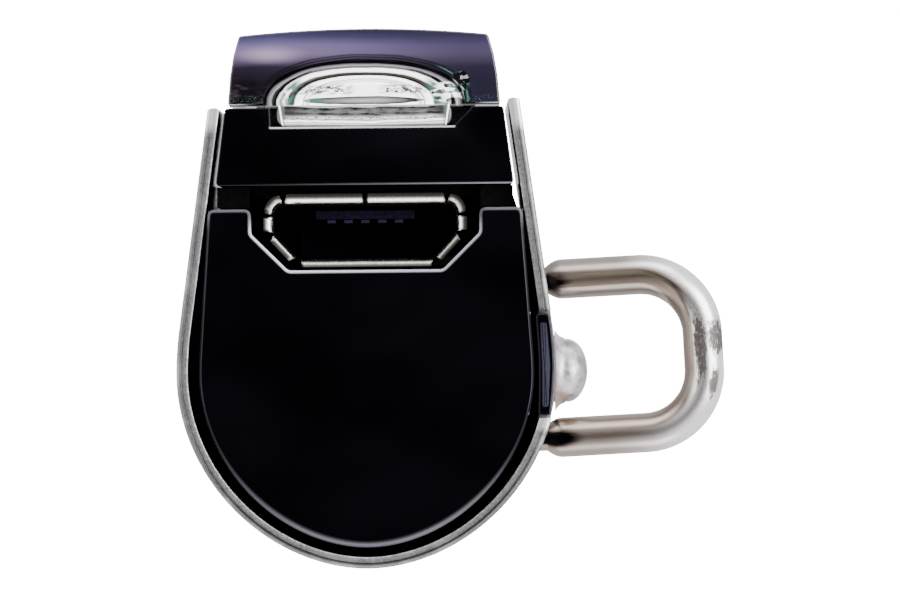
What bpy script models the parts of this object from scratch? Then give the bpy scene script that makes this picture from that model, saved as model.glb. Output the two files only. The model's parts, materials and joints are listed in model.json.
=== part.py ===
"""Miniature disc brake lock: a round-ended body in a bent steel band, with a wire shackle, a charging
port, a clear lens under a smoked dome, and a motor-driven locking plate inside.

Frame: the shackle points to +X, the dome to +Z and the charging port to -Y. The origin is the centre
of the round end, on the rear cover's outer face. Dimensions below are in millimetres, and every mesh
is built in metres.
"""

import math

import bmesh
import bpy
from mathutils import Matrix, Vector

MM = 0.001

# Body, seen from the front
HALF_WIDTH = 7.33  # widest half-width of the steel band
DROP = 7.47  # from the origin down to the band's lowest point
ROUNDNESS = 1.92  # exponent of the round end, where 2 is an ellipse
SHOULDER_RADIUS = 13.0  # large arc that leads from the round end into the straight sides
BAND_TAPER = math.radians(7.9)
BAND_THICKNESS = 0.46
BAND_TOP_LEFT = 10.32
BAND_TOP_RIGHT = 10.62
FOOT_HALF = 1.2  # half-width of the flat that the body can stand on, at its lowest point
END_STEPS = 15  # facets in each quarter of the round end
SHOULDER_STEPS = 2

# Depth stations, front to rear
FRONT = -24.0
BAND_FRONT = -23.85
BAND_REAR = -0.3
SEAL_FRONT = -1.5
COVER_FRONT = -1.2

# Lower housing
HOUSING_INSET = 0.87
HOUSING_TAPER = math.radians(3.8)
HOUSING_STRETCH = 1.01  # the round end hangs this much lower than an even inset would put it
HOUSING_TOP = 6.42
WALL = 0.75
EDGE_ROUND = 0.28
PORT_NOTCH = ((4.38, 5.45), (2.97, 4.05))  # corners of the notch around the port, right half

# Upper housing, lens and dome
BLOCK_BOTTOM = 7.31
BLOCK_TOP = 10.30
BLOCK_HALF_BOTTOM = 5.76
BLOCK_HALF_TOP = 5.36
FLANGE_BOTTOM = 10.33
FLANGE_TOP = 10.43
DOME_BOTTOM = 10.46
DOME_HALF_BOTTOM = 5.31
DOME_HALF_TOP = 4.80
DOME_CORNER_Z = 13.08
DOME_APEX_Z = 13.32
LENS_BACK = -21.2
RECESS_BACK = -21.0

# Board and charging port
BOARD_BOTTOM = 6.82
BOARD_TOP = 7.42
BOARD_HALF = 4.25
PORT_REAR = -18.6
PORT_FLARE_START = -23.4
PORT_MOUTH = -23.95
PORT_SHEET = 0.22
CONTACT_PITCH = 0.65

# Lock: a frame tilted up towards the shackle. u runs along the legs and w from leg to leg.
LOCK_Y = -12.5
LOCK_Z = 0.145
LOCK_TILT = math.radians(2.7)
LEG_HALF_SPACING = 3.125
WIRE_RADIUS = 0.786
SHANK_RADIUS = 0.5
GROOVE_RADIUS = 0.32
GROOVE = (3.85, 4.55)
LEG_TIP = 3.1
SHOULDER_UPPER = 7.18
SHOULDER_LOWER = 6.86
SHOULDER_LENGTH = 0.62
LOOP_END = 13.24
BEND_RADIUS = 2.42
PLATE = (4.0, 4.4)
PLATE_TRAVEL = 0.7
CAM_THROW = 0.5
CAM_PIN_RADIUS = 0.25
CHASSIS_FRONT = (4.9, 5.3)
CHASSIS_REAR = (1.9, 2.3)
CHASSIS_HALF_DEPTH = 2.6
CHASSIS_W = (-4.28, 4.28)

# Plunger between the legs, and the button at the front edge of the band
PLUNGER_Z = 0.025
PLUNGER_TIP = 8.64
PLUNGER_RADIUS = 1.25
PLUNGER_RISE = 0.8  # how far the dome stands out of its straight side
PLUNGER_FLANGE = (6.35, 6.55)
BUTTON_Z = (-1.65, 2.31)
BUTTON_X = (6.62, 7.24)
BUTTON_REAR = -21.4

for old in list(bpy.data.objects):
    bpy.data.objects.remove(old)

scene_root = bpy.context.scene.collection
parts = bpy.data.collections.new("disc_brake_lock")
cutters = bpy.data.collections.new("cutters")
scene_root.children.link(parts)
scene_root.children.link(cutters)

lock_frame = bpy.data.objects.new("lock_frame", None)
lock_frame.location = (0, LOCK_Y * MM, LOCK_Z * MM)
lock_frame.rotation_euler = (0, -LOCK_TILT, 0)
parts.objects.link(lock_frame)


# ---------------------------------------------------------------- materials


def material(name, color, roughness, metallic=0.0):
    """A plain Principled material."""
    made = bpy.data.materials.new(name)
    made.use_nodes = True
    shader = made.node_tree.nodes["Principled BSDF"]
    shader.inputs["Base Color"].default_value = (*color, 1.0)
    shader.inputs["Roughness"].default_value = roughness
    shader.inputs["Metallic"].default_value = metallic
    made.diffuse_color = (*color, 1.0)
    return made


FINISHES = {
    "gloss_black": ((0.012, 0.012, 0.02), 0.12, 0.0),
    "smoked": ((0.05, 0.04, 0.08), 0.08, 0.0),
    "clear": ((0.85, 0.92, 0.9), 0.03, 0.0),
    "matte_black": ((0.02, 0.02, 0.022), 0.7, 0.0),
    "band_steel": ((0.62, 0.61, 0.6), 0.38, 1.0),
    "shackle_steel": ((0.72, 0.67, 0.62), 0.26, 1.0),
    "nickel": ((0.78, 0.75, 0.68), 0.22, 1.0),
    "brass": ((0.75, 0.58, 0.3), 0.3, 1.0),
    "board_black": ((0.015, 0.02, 0.017), 0.5, 0.0),
    "led_white": ((0.9, 0.88, 0.75), 0.3, 0.0),
    "rubber": ((0.03, 0.03, 0.03), 0.8, 0.0),
    "cell_silver": ((0.55, 0.56, 0.58), 0.4, 0.0),
}


# ---------------------------------------------------------------- making solids


def add_object(name, mesh, finish, parent=None):
    """Link a mesh as a part with its own material, or as a cutter when finish is None."""
    body = bpy.data.objects.new(name, mesh)
    if finish is None:
        cutters.objects.link(body)
        body.hide_render = True
        body.display_type = "WIRE"
    else:
        parts.objects.link(body)
        mesh.materials.clear()
        mesh.materials.append(material(name + "_" + finish, *FINISHES[finish]))
    body.parent = parent
    return body


def from_bmesh(name, shape, finish, parent=None, smooth=False):
    """Write a bmesh given in millimetres to an object in metres."""
    bmesh.ops.transform(shape, matrix=Matrix.Scale(MM, 4), verts=shape.verts)
    mesh = bpy.data.meshes.new(name)
    shape.to_mesh(mesh)
    shape.free()
    if smooth:
        mesh.shade_smooth()
        mesh.set_sharp_from_angle(angle=math.radians(40))
    return add_object(name, mesh, finish, parent)


def box(name, low, high, finish, parent=None, round_off=0.0):
    """A box between two corners, with an optional rounding on every edge."""
    low, high = Vector(low), Vector(high)
    shape = bmesh.new()
    bmesh.ops.create_cube(shape, size=1.0)
    size = high - low
    place = Matrix.Translation((low + high) / 2) @ Matrix.Diagonal((*size, 1.0))
    bmesh.ops.transform(shape, matrix=place, verts=shape.verts)
    body = from_bmesh(name, shape, finish, parent)
    if round_off:
        soften(body, round_off)
    return body


def rod(name, radius, start, length, axis, finish, parent=None, segments=24):
    """A round bar from a start point along +X, +Y or +Z."""
    turn = {
        "X": Matrix.Rotation(math.radians(90), 4, "Y"),
        "Y": Matrix.Rotation(math.radians(-90), 4, "X"),
        "Z": Matrix.Identity(4),
    }[axis]
    middle = Matrix.Translation((0, 0, length / 2))
    shape = bmesh.new()
    bmesh.ops.create_cone(
        shape,
        cap_ends=True,
        segments=segments,
        radius1=radius,
        radius2=radius,
        depth=length,
        matrix=Matrix.Translation(start) @ turn @ middle,
    )
    return from_bmesh(name, shape, finish, parent, smooth=True)


def mesh_of_curve(name, curve, place, finish, parent=None, smooth=True):
    """Turn a curve drawn in millimetres into a welded mesh object and remove the curve."""
    guide = bpy.data.objects.new(name + "_guide", curve)
    scene_root.objects.link(guide)
    guide.matrix_world = place
    bpy.context.view_layer.update()
    evaluated = guide.evaluated_get(bpy.context.evaluated_depsgraph_get())
    mesh = bpy.data.meshes.new_from_object(evaluated)
    mesh.transform(guide.matrix_world)
    shape = bmesh.new()
    shape.from_mesh(mesh)
    bmesh.ops.remove_doubles(shape, verts=shape.verts, dist=0.001)
    bpy.data.objects.remove(guide)
    return from_bmesh(name, shape, finish, parent, smooth)


def prism(name, outline, front, rear, finish, parent=None, holes=(), smooth=True):
    """Extrude an outline of (x, z) points along Y, with optional holes."""
    curve = bpy.data.curves.new(name, "CURVE")
    curve.dimensions = "2D"
    curve.fill_mode = "BOTH"
    curve.extrude = (rear - front) / 2
    for ring in (outline, *holes):
        spline = curve.splines.new("POLY")
        spline.points.add(len(ring) - 1)
        for point, (x, z) in zip(spline.points, ring):
            point.co = (x, z, 0, 1)
        spline.use_cyclic_u = True
    upright = Matrix.Rotation(math.radians(90), 4, "X")
    place = Matrix.Translation((0, (front + rear) / 2, 0)) @ upright
    return mesh_of_curve(name, curve, place, finish, parent, smooth)


def wire(name, path, radius, finish, parent=None, sides=16):
    """A round wire along (point, relative radius) pairs, closed at both ends."""
    curve = bpy.data.curves.new(name, "CURVE")
    curve.dimensions = "3D"
    curve.bevel_depth = radius
    curve.bevel_resolution = (sides - 4) // 2
    curve.use_fill_caps = True
    spline = curve.splines.new("POLY")
    spline.points.add(len(path) - 1)
    for point, (place, scale) in zip(spline.points, path):
        point.co = (*place, 1)
        point.radius = scale
    return mesh_of_curve(name, curve, Matrix.Identity(4), finish, parent)


def turned(name, profile, place, finish, segments=32, ring=False):
    """A solid turned about +X through place. profile holds (distance along X, radius) from the
    outer end inwards, and a ring's profile closes on itself."""
    mesh = bpy.data.meshes.new(name)
    points = [(radius * MM, 0, along * MM) for along, radius in profile]
    edges = [(i, i + 1) for i in range(len(points) - 1)]
    if ring:
        edges.append((len(points) - 1, 0))
    mesh.from_pydata(points, edges, [])
    body = add_object(name, mesh, finish)
    body.location = Vector(place) * MM
    body.rotation_euler = (0, math.radians(90), 0)
    screw = body.modifiers.new("turn", "SCREW")
    screw.steps = segments
    screw.render_steps = segments
    screw.use_merge_vertices = True
    screw.merge_threshold = 0.000001
    screw.use_smooth_shade = True
    return body


def soften(body, width, segments=2, limit=35):
    """Round every edge sharper than the limit."""
    bevel = body.modifiers.new("rounding", "BEVEL")
    bevel.width = width * MM
    bevel.segments = segments
    bevel.limit_method = "ANGLE"
    bevel.angle_limit = math.radians(limit)


def soften_ends(body, width, stations, segments=2):
    """Round only the outline edges that lie in the given Y stations."""
    shape = bmesh.new()
    shape.from_mesh(body.data)
    flat = [edge for edge in shape.edges if edge.calc_face_angle(0.0) < math.radians(1)]
    bmesh.ops.dissolve_edges(shape, edges=flat, use_verts=False)
    weight = shape.edges.layers.float.new("bevel_weight_edge")
    for edge in shape.edges:
        on_station = any(all(abs(v.co.y / MM - s) < 0.001 for v in edge.verts) for s in stations)
        edge[weight] = 1.0 if on_station else 0.0
    shape.to_mesh(body.data)
    shape.free()
    bevel = body.modifiers.new("edge_rounding", "BEVEL")
    bevel.width = width * MM
    bevel.segments = segments
    bevel.limit_method = "WEIGHT"


def combine(body, other, operation):
    """Add a Boolean modifier that takes another object as its operand."""
    change = body.modifiers.new(other.name, "BOOLEAN")
    change.operation = operation
    change.solver = "EXACT"
    change.object = other


def cut(body, cutter):
    combine(body, cutter, "DIFFERENCE")


def join(body, other):
    combine(body, other, "UNION")


# ---------------------------------------------------------------- outlines in the XZ plane


def side_outline(taper, inset, top_left, top_right):
    """The round end with its two straight sides, from the left top, round the bottom, to the right
    top. The straight sides lean inwards by the taper, and inset moves every point inwards."""
    right = []
    foot_turn = math.acos((FOOT_HALF / HALF_WIDTH) ** (ROUNDNESS / 2))
    for step in range(END_STEPS + 1):
        turn = foot_turn * (1 - step / END_STEPS)
        x = HALF_WIDTH * max(math.cos(turn), 0.0) ** (2 / ROUNDNESS)
        z = -DROP * math.sin(turn) ** (2 / ROUNDNESS)
        slope_x = (x / HALF_WIDTH) ** (ROUNDNESS - 1) / HALF_WIDTH
        slope_z = -((-z / DROP) ** (ROUNDNESS - 1)) / DROP
        length = math.hypot(slope_x, slope_z)
        right.append((x - inset * slope_x / length, z - inset * slope_z / length))
    centre = HALF_WIDTH - SHOULDER_RADIUS
    for step in range(1, SHOULDER_STEPS + 1):
        turn = taper * step / SHOULDER_STEPS
        reach = SHOULDER_RADIUS - inset
        right.append((centre + reach * math.cos(turn), reach * math.sin(turn)))
    x0, z0 = right[-1]

    def top_point(top):
        run = (top - z0) / math.cos(taper)
        return (x0 - run * math.sin(taper), top)

    left = [(-x, z) for x, z in reversed(right)]
    left_top = top_point(top_left)
    return [(-left_top[0], left_top[1]), *left, *right, top_point(top_right)]


def rounded(outline, radius, steps=4):
    """Replace every corner sharper than 25 degrees by an arc."""
    result = []
    count = len(outline)
    for i, corner in enumerate(outline):
        before = Vector(outline[i - 1]) - Vector(corner)
        after = Vector(outline[(i + 1) % count]) - Vector(corner)
        turn = math.pi - before.angle(after)
        if turn < math.radians(25):
            result.append(corner)
            continue
        reach = radius * math.tan(turn / 2)
        reach = min(reach, before.length * 0.45, after.length * 0.45)
        start = Vector(corner) + before.normalized() * reach
        end = Vector(corner) + after.normalized() * reach
        for step in range(steps + 1):
            t = step / steps
            point = start * (1 - t) ** 2 + Vector(corner) * 2 * t * (1 - t) + end * t * t
            result.append(tuple(point))
    return result


def inset_outline(outline, distance):
    """Move every side of a closed anticlockwise outline inwards by the distance."""
    result = []
    count = len(outline)
    for i, corner in enumerate(outline):
        before = (Vector(corner) - Vector(outline[i - 1])).normalized()
        after = (Vector(outline[(i + 1) % count]) - Vector(corner)).normalized()
        inward = Vector((-before.y - after.y, before.x + after.x)).normalized()
        stretch = max(inward.dot(Vector((-after.y, after.x))), 0.3)
        result.append(tuple(Vector(corner) + inward * distance / stretch))
    return result


def arch(half_width, base, rise, steps=20):
    """Points of a half ellipse from its right foot over the top to its left foot."""
    turns = [math.pi * step / steps for step in range(steps + 1)]
    return [(half_width * math.cos(t), base + rise * math.sin(t)) for t in turns]


def mirrored(right_half):
    """Close an outline given by its right half, bottom to top."""
    return [*right_half, *[(-x, z) for x, z in reversed(right_half)]]


# ---------------------------------------------------------------- band and housings


def make_band():
    """The bent steel strip, with its holes for the legs and the plunger and its notch."""
    outer = side_outline(BAND_TAPER, 0.0, BAND_TOP_LEFT, BAND_TOP_RIGHT)
    inner = side_outline(BAND_TAPER, BAND_THICKNESS, BAND_TOP_LEFT, BAND_TOP_RIGHT)
    strip = [*outer, *reversed(inner)]
    band = prism("steel_band", strip, BAND_FRONT, BAND_REAR, "band_steel")
    for side in (-1, 1):
        leg = (5.6, 0, side * LEG_HALF_SPACING)
        hole = rod(f"band_leg_hole_{side}", 0.62, leg, 2.4, "X", None, lock_frame)
        cut(band, hole)
    start = (6.0, LOCK_Y, PLUNGER_Z)
    cut(band, rod("band_plunger_hole", 1.34, start, 2.0, "X", None, segments=32))
    low = (6.0, FRONT - 1, BUTTON_Z[0] - 0.08)
    high = (8.0, BUTTON_REAR + 0.1, BUTTON_Z[1] + 0.08)
    cut(band, box("band_button_notch", low, high, None))
    return band


def housing_outline():
    """The lower housing's outline, whose round end is stretched downwards a little."""
    even = side_outline(HOUSING_TAPER, HOUSING_INSET, HOUSING_TOP, HOUSING_TOP)
    return [(x, z * HOUSING_STRETCH if z < 0 else z) for x, z in even]


def make_lower_housing():
    """The tub: one front wall with a notch for the port, open at the top and the rear."""
    side, bottom = PORT_NOTCH
    notch = [
        (side[0], HOUSING_TOP),
        side,
        bottom,
        (-bottom[0], bottom[1]),
        (-side[0], side[1]),
        (-side[0], HOUSING_TOP),
    ]
    shell = [*housing_outline(), *notch]
    housing = prism("lower_housing", rounded(shell, 0.3, 3), FRONT, SEAL_FRONT - 0.05, "gloss_black")
    soften_ends(housing, EDGE_ROUND, [FRONT], 3)
    opening = side_outline(HOUSING_TAPER, HOUSING_INSET + WALL, HOUSING_TOP + 1, HOUSING_TOP + 1)
    cut(housing, prism("housing_cavity", opening, FRONT + 0.8, 0.0, None))
    for side in (-1, 1):
        boss = rod(f"housing_boss_{side}", 0.85, (side * 2.9, -6.0, -4.4), 4.4, "Y", None)
        join(housing, boss)
        thread = rod(f"housing_thread_{side}", 0.5, (side * 2.9, -5.2, -4.4), 4.4, "Y", None)
        cut(housing, thread)
    low = (4.0, LOCK_Y - CHASSIS_HALF_DEPTH - 0.3, -4.7)
    high = (8.0, LOCK_Y + CHASSIS_HALF_DEPTH + 0.3, 5.2)
    cut(housing, box("housing_lock_window", low, high, None))
    cut(housing, box("housing_button_hole", (5.0, -22.85, -0.22), (8.0, -21.75, 0.88), None))
    return housing


def block_outline():
    return mirrored([(BLOCK_HALF_BOTTOM, BLOCK_BOTTOM), (BLOCK_HALF_TOP, BLOCK_TOP)])


def make_upper_housing():
    """The block above the port: hollow from below, with a notch for the lens in its top edge."""
    outline = rounded(block_outline(), 0.12, 2)
    block = prism("upper_housing", outline, FRONT + 0.05, SEAL_FRONT - 0.05, "gloss_black")
    soften_ends(block, 0.1, [FRONT + 0.05])
    cut(block, box("block_cavity", (-4.7, -23.0, 6.0), (4.7, -2.6, 9.2), None))
    notch = [(3.46, 9.56), (4.1, 10.2), (4.1, 11.0), (-3.63, 11.0), (-3.63, 9.56)]
    cut(block, prism("block_lens_notch", notch, FRONT - 1, RECESS_BACK, None))
    cut(block, box("block_light_slot", (-2.6, -22.7, 8.8), (2.6, -21.5, 10.0), None))
    for side in (-1, 1):
        thread = rod(f"block_thread_{side}", 0.5, (side * 3.9, -4.6, 9.0), 4.4, "Y", None)
        low = (side * 3.9 - 0.9, -5.2, 8.2)
        high = (side * 3.9 + 0.9, -2.4, 9.4)
        join(block, box(f"block_boss_{side}", low, high, None))
        cut(block, thread)
    return block


def make_top_cover():
    """The smoked dome: a crowned, tapered cover, hollow below, with an arched lens recess."""
    crown = []
    steps = 8
    for step in range(steps + 1):
        x = DOME_HALF_TOP * (1 - step / steps)
        fall = (DOME_APEX_Z - DOME_CORNER_Z) * (x / DOME_HALF_TOP) ** 2
        crown.append((x, DOME_APEX_Z - fall))
    half = [(DOME_HALF_BOTTOM, DOME_BOTTOM), (5.15, 11.5), (5.02, 12.3), *crown[:-1]]
    outline = [*half, (0, DOME_APEX_Z), *[(-x, z) for x, z in reversed(half)]]
    ends = (FRONT + 0.1, -0.2)
    dome = prism("top_cover", rounded(outline, 0.45, 4), *ends, "smoked")
    soften_ends(dome, 0.35, ends, 3)
    cut(dome, box("dome_cavity", (-4.3, -20.2, 9.0), (4.3, -1.2, 12.4), None))
    recess = [(3.95, 10.0), *arch(3.95, DOME_BOTTOM, 1.79), (-3.95, 10.0)]
    cut(dome, prism("dome_lens_recess", recess, FRONT - 1, RECESS_BACK, None))
    return dome


def make_lens():
    """The clear lens: a bar in the block's notch, an arch in the dome's recess and a thin flange
    that is clamped between them."""
    front = FRONT + 0.2
    bar = [(3.36, 9.62), (3.36, FLANGE_TOP), (-3.36, FLANGE_TOP), (-3.36, 9.62)]
    lens = prism("lens", rounded(bar, 0.35, 4), front, LENS_BACK, "clear")
    dome = arch(3.7, FLANGE_BOTTOM + 0.02, 1.62)
    join(lens, prism("lens_arch", dome, front, LENS_BACK, None))
    low = (-5.2, front + 0.1, FLANGE_BOTTOM)
    high = (5.2, LENS_BACK + 0.05, FLANGE_TOP)
    join(lens, box("lens_flange", low, high, None))
    return lens


def make_inner_frame():
    """Two rails and a rear bridge between the housings, which carry the board."""
    rails = box("inner_frame", (-5.70, -23.2, 6.47), (5.70, -1.6, 7.26), "matte_black")
    cut(rails, box("frame_opening", (-4.45, -25.0, 6.0), (4.45, -2.9, 8.0), None))
    return rails


def cover_outline():
    """The whole rear outline: the lower housing with the block above it."""
    lower = housing_outline()
    right = [(BLOCK_HALF_BOTTOM, BLOCK_BOTTOM), (BLOCK_HALF_TOP, BLOCK_TOP)]
    return [*lower, *right, *[(-x, z) for x, z in reversed(right)]]


SCREW_PLACES = ((-2.9, -4.4), (2.9, -4.4), (-3.9, 9.0), (3.9, 9.0))


def make_rear():
    """The rear cover, its seal and its four screws."""
    outline = cover_outline()
    cover = prism("rear_cover", outline, COVER_FRONT, 0.0, "gloss_black")
    soften_ends(cover, 0.2, [0.0], 2)
    ring = inset_outline(outline, 0.15)
    seal_hole = inset_outline(outline, 0.6)
    prism("rear_seal", ring, SEAL_FRONT, COVER_FRONT - 0.05, "rubber", holes=[seal_hole])
    for number, (x, z) in enumerate(SCREW_PLACES, 1):
        cut(cover, rod(f"cover_pocket_{number}", 0.95, (x, -0.62, z), 1.0, "Y", None))
        cut(cover, rod(f"cover_hole_{number}", 0.55, (x, -2.0, z), 2.5, "Y", None))
        screw = rod(f"rear_screw_{number}", 0.8, (x, -0.55, z), 0.4, "Y", "nickel")
        join(screw, rod(f"screw_shank_{number}", 0.42, (x, -4.2, z), 3.9, "Y", None, segments=16))
        size = (0.55, 0.12)
        for turn, (wide, high) in enumerate((size, size[::-1])):
            low = (x - wide, -0.32, z - high)
            cut(screw, box(f"screw_slot_{number}_{turn}", low, (x + wide, 0.1, z + high), None))


# ---------------------------------------------------------------- port and electronics


def port_ring(offset):
    """The port's inner outline, eight corners with the wide side up, moved outwards."""
    right = [(2.5, 4.5), (3.45, 5.4), (3.45, 6.2), (3.1, 6.5)]
    return inset_outline(mirrored(right), -offset)


def make_port():
    """The charging port: a folded shell with a flared mouth, its tongue and five contacts."""
    stations = ((PORT_REAR, 0.0), (PORT_FLARE_START, 0.0), (-23.7, 0.1), (PORT_MOUTH, 0.3))
    shape = bmesh.new()
    loops = []
    for y, offset in stations:
        loops.append([shape.verts.new((x, y, z)) for x, z in port_ring(offset)])
    for a, b in zip(loops, loops[1:]):
        for i in range(len(a)):
            j = (i + 1) % len(a)
            shape.faces.new((a[i], a[j], b[j], b[i]))
    bmesh.ops.recalc_face_normals(shape, faces=shape.faces)
    shell = from_bmesh("usb_shell", shape, "nickel")
    wall = shell.modifiers.new("sheet", "SOLIDIFY")
    wall.thickness = PORT_SHEET * MM
    wall.offset = -1.0
    wall.use_even_offset = True
    tongue = box("usb_tongue", (-1.9, -22.9, 6.0), (1.9, -18.7, 6.32), "matte_black")
    join(tongue, box("tongue_base", (-2.5, -19.15, 4.6), (2.5, -18.65, 6.4), None))
    for number in range(5):
        x = (number - 2) * CONTACT_PITCH
        low = (x - 0.16, -22.8, 5.85)
        high = (x + 0.16, -19.2, 5.97)
        box(f"usb_contact_{number + 1}", low, high, "brass")


def make_board():
    """The circuit board with its chips, lamps and switches, the cell and the siren disc."""
    low = (-BOARD_HALF, -22.6, BOARD_BOTTOM)
    box("circuit_board", low, (BOARD_HALF, -3.3, BOARD_TOP), "board_black")
    chip_base = BOARD_TOP + 0.03
    box("control_chip", (-1.75, -14.0, chip_base), (1.75, -10.5, 8.2), "matte_black")
    box("charge_chip", (-3.6, -18.6, chip_base), (-2.1, -17.1, 8.0), "matte_black")
    for side, name in ((-1, "led_left"), (1, "led_right")):
        x = side * 1.4
        box(name, (x - 0.5, -22.4, chip_base), (x + 0.5, -21.6, 8.0), "led_white")
    box("battery_cell", (-4.2, -9.2, -3.1), (4.2, -2.5, 5.2), "cell_silver", round_off=0.5)
    rod("siren_disc", 3.9, (0, -23.1, -1.2), 0.5, "Y", "brass", segments=40)


# ---------------------------------------------------------------- lock


def make_chassis():
    """Front and rear plates joined by two flanges, with bushes that guide the shackle's legs."""
    u0, u1 = CHASSIS_REAR[0], CHASSIS_FRONT[1]
    w0, w1 = CHASSIS_W
    half = CHASSIS_HALF_DEPTH
    chassis = box("lock_chassis", (u0, -half, w0), (u1, half, w1), "nickel", lock_frame)
    low = (CHASSIS_REAR[1], -half - 1, w0 + 0.35)
    high = (CHASSIS_FRONT[0], half + 1, w1 - 0.35)
    cut(chassis, box("chassis_inside", low, high, None, lock_frame))
    cut(chassis, rod("chassis_shaft_hole", 0.5, (1.0, 0, 0), 1.6, "X", None, lock_frame))
    for side, name in ((1, "upper"), (-1, "lower")):
        w = side * LEG_HALF_SPACING
        seat = rod(f"chassis_bush_seat_{name}", 0.86, (4.6, 0, w), 1.2, "X", None, lock_frame)
        cut(chassis, seat)
        length = 1.5 if side > 0 else 0.72
        bush = rod(f"shackle_guide_{name}", 0.8, (4.95, 0, w), length, "X", "brass", lock_frame)
        bore = rod(f"guide_bore_{name}", 0.6, (4.0, 0, w), 4.0, "X", None, lock_frame)
        cut(bush, bore)


def leg_path(side, shoulder):
    """One leg from its tip to its shoulder, as points with relative radii."""
    w = side * LEG_HALF_SPACING
    shank = SHANK_RADIUS / WIRE_RADIUS
    neck = GROOVE_RADIUS / WIRE_RADIUS
    step = 0.04
    stations = [
        (LEG_TIP, shank * 0.7),
        (LEG_TIP + 0.15, shank),
        (GROOVE[0] - step, shank),
        (GROOVE[0], neck),
        (GROOVE[1], neck),
        (GROOVE[1] + step, shank),
        (shoulder, shank),
    ]
    rise = 1 - shank
    for part in range(1, 6):
        t = part / 5
        bulge = math.sqrt(1 - (1 - t) ** 2)
        stations.append((shoulder + 0.02 + SHOULDER_LENGTH * t, shank + rise * bulge))
    return [((u, 0, w), radius) for u, radius in stations]


def make_shackle():
    """The bent wire loop, with turned-down and grooved legs."""
    upper = leg_path(1, SHOULDER_UPPER)
    lower = leg_path(-1, SHOULDER_LOWER)
    bend = []
    centre_u = LOOP_END - BEND_RADIUS
    steps = 10
    for side in (1, -1):
        centre_w = side * (LEG_HALF_SPACING - BEND_RADIUS)
        for step in range(steps + 1):
            turn = math.radians(90) * step / steps
            if side < 0:
                turn = math.radians(90) - turn
            u = centre_u + BEND_RADIUS * math.sin(turn)
            w = centre_w + side * BEND_RADIUS * math.cos(turn)
            bend.append(((u, 0, w), 1.0))
    path = [*upper, *bend, *reversed(lower)]
    wire("shackle", path, WIRE_RADIUS, "shackle_steel", lock_frame)


def make_locking_plate():
    """The plate whose keyhole slots catch the grooves of both legs. At rest the legs stand in the
    round ends, and the plate moves towards +Y to lock."""
    u0, u1 = PLATE
    plate = box("locking_plate", (u0, -1.9, -3.88), (u1, 1.5, 3.88), "nickel", lock_frame)
    for side in (-1, 1):
        w = side * LEG_HALF_SPACING
        start = (u0 - 1, 0, w)
        cut(plate, rod(f"plate_round_{side}", 0.62, start, 2.4, "X", None, lock_frame))
        low = (u0 - 1, -PLATE_TRAVEL - 0.38, w - 0.38)
        cut(plate, box(f"plate_slot_{side}", low, (u1 + 1, 0, w + 0.38), None, lock_frame))
    pin_y = -CAM_THROW * math.sin(math.radians(45))
    width = CAM_PIN_RADIUS + 0.06
    low = (u0 - 1, pin_y - width, -0.15)
    cut(plate, box("plate_pin_slot", low, (u1 + 1, pin_y + width, 1.0), None, lock_frame))


def make_drive():
    """The gear motor and the eccentric cam on its shaft."""
    rod("lock_motor", 1.6, (-4.4, 0, 0), 6.2, "X", "nickel", lock_frame, segments=32)
    cam = rod("motor_cam", 0.85, (2.5, 0, 0), 0.55, "X", "brass", lock_frame)
    join(cam, rod("cam_shaft", 0.35, (1.88, 0, 0), 0.9, "X", None, lock_frame, segments=16))
    start_turn = math.radians(45)
    y = -CAM_THROW * math.sin(start_turn)
    w = CAM_THROW * math.cos(start_turn)
    pin = rod("cam_pin", CAM_PIN_RADIUS, (2.8, y, w), 1.75, "X", None, lock_frame, segments=16)
    join(cam, pin)


# ---------------------------------------------------------------- plunger and button


def make_plunger():
    """The domed plunger with its collar, return spring and switch."""
    place = (0, LOCK_Y, PLUNGER_Z)
    dome = []
    steps = 9
    for step in range(steps + 1):
        turn = math.radians(90) * step / steps
        along = PLUNGER_TIP - PLUNGER_RISE * (1 - math.cos(turn))
        dome.append((along, PLUNGER_RADIUS * math.sin(turn)))
    rear, front = PLUNGER_FLANGE
    rim = 1.5
    flange = [(front, PLUNGER_RADIUS), (front, rim), (rear, rim), (rear, 0.0)]
    turned("arming_plunger", [*dome, *flange], place, "shackle_steel")
    inside = PLUNGER_RADIUS + 0.04
    seat = HALF_WIDTH + 0.015
    collar = [
        (7.72, inside),
        (7.72, inside + 0.01),
        (7.55, inside + 0.09),
        (7.43, inside + 0.18),
        (seat, inside + 0.31),
        (seat, inside),
    ]
    turned("plunger_collar", collar, place, "band_steel", ring=True)
    turns = 3
    steps = 12 * turns
    coil = 0.98
    start, end = 5.45, rear - 0.12
    helix = []
    for step in range(steps + 1):
        angle = 2 * math.pi * turns * step / steps
        x = start + (end - start) * step / steps
        y = LOCK_Y + coil * math.cos(angle)
        helix.append(((x, y, PLUNGER_Z + coil * math.sin(angle)), 1.0))
    wire("plunger_spring", helix, 0.08, "nickel", sides=8)
    switch = rod("arming_switch", 0.6, (5.42, LOCK_Y, PLUNGER_Z), 0.3, "X", "matte_black")
    join(switch, rod("switch_tip", 0.3, (5.6, LOCK_Y, PLUNGER_Z), 0.24, "X", None, segments=16))


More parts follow.
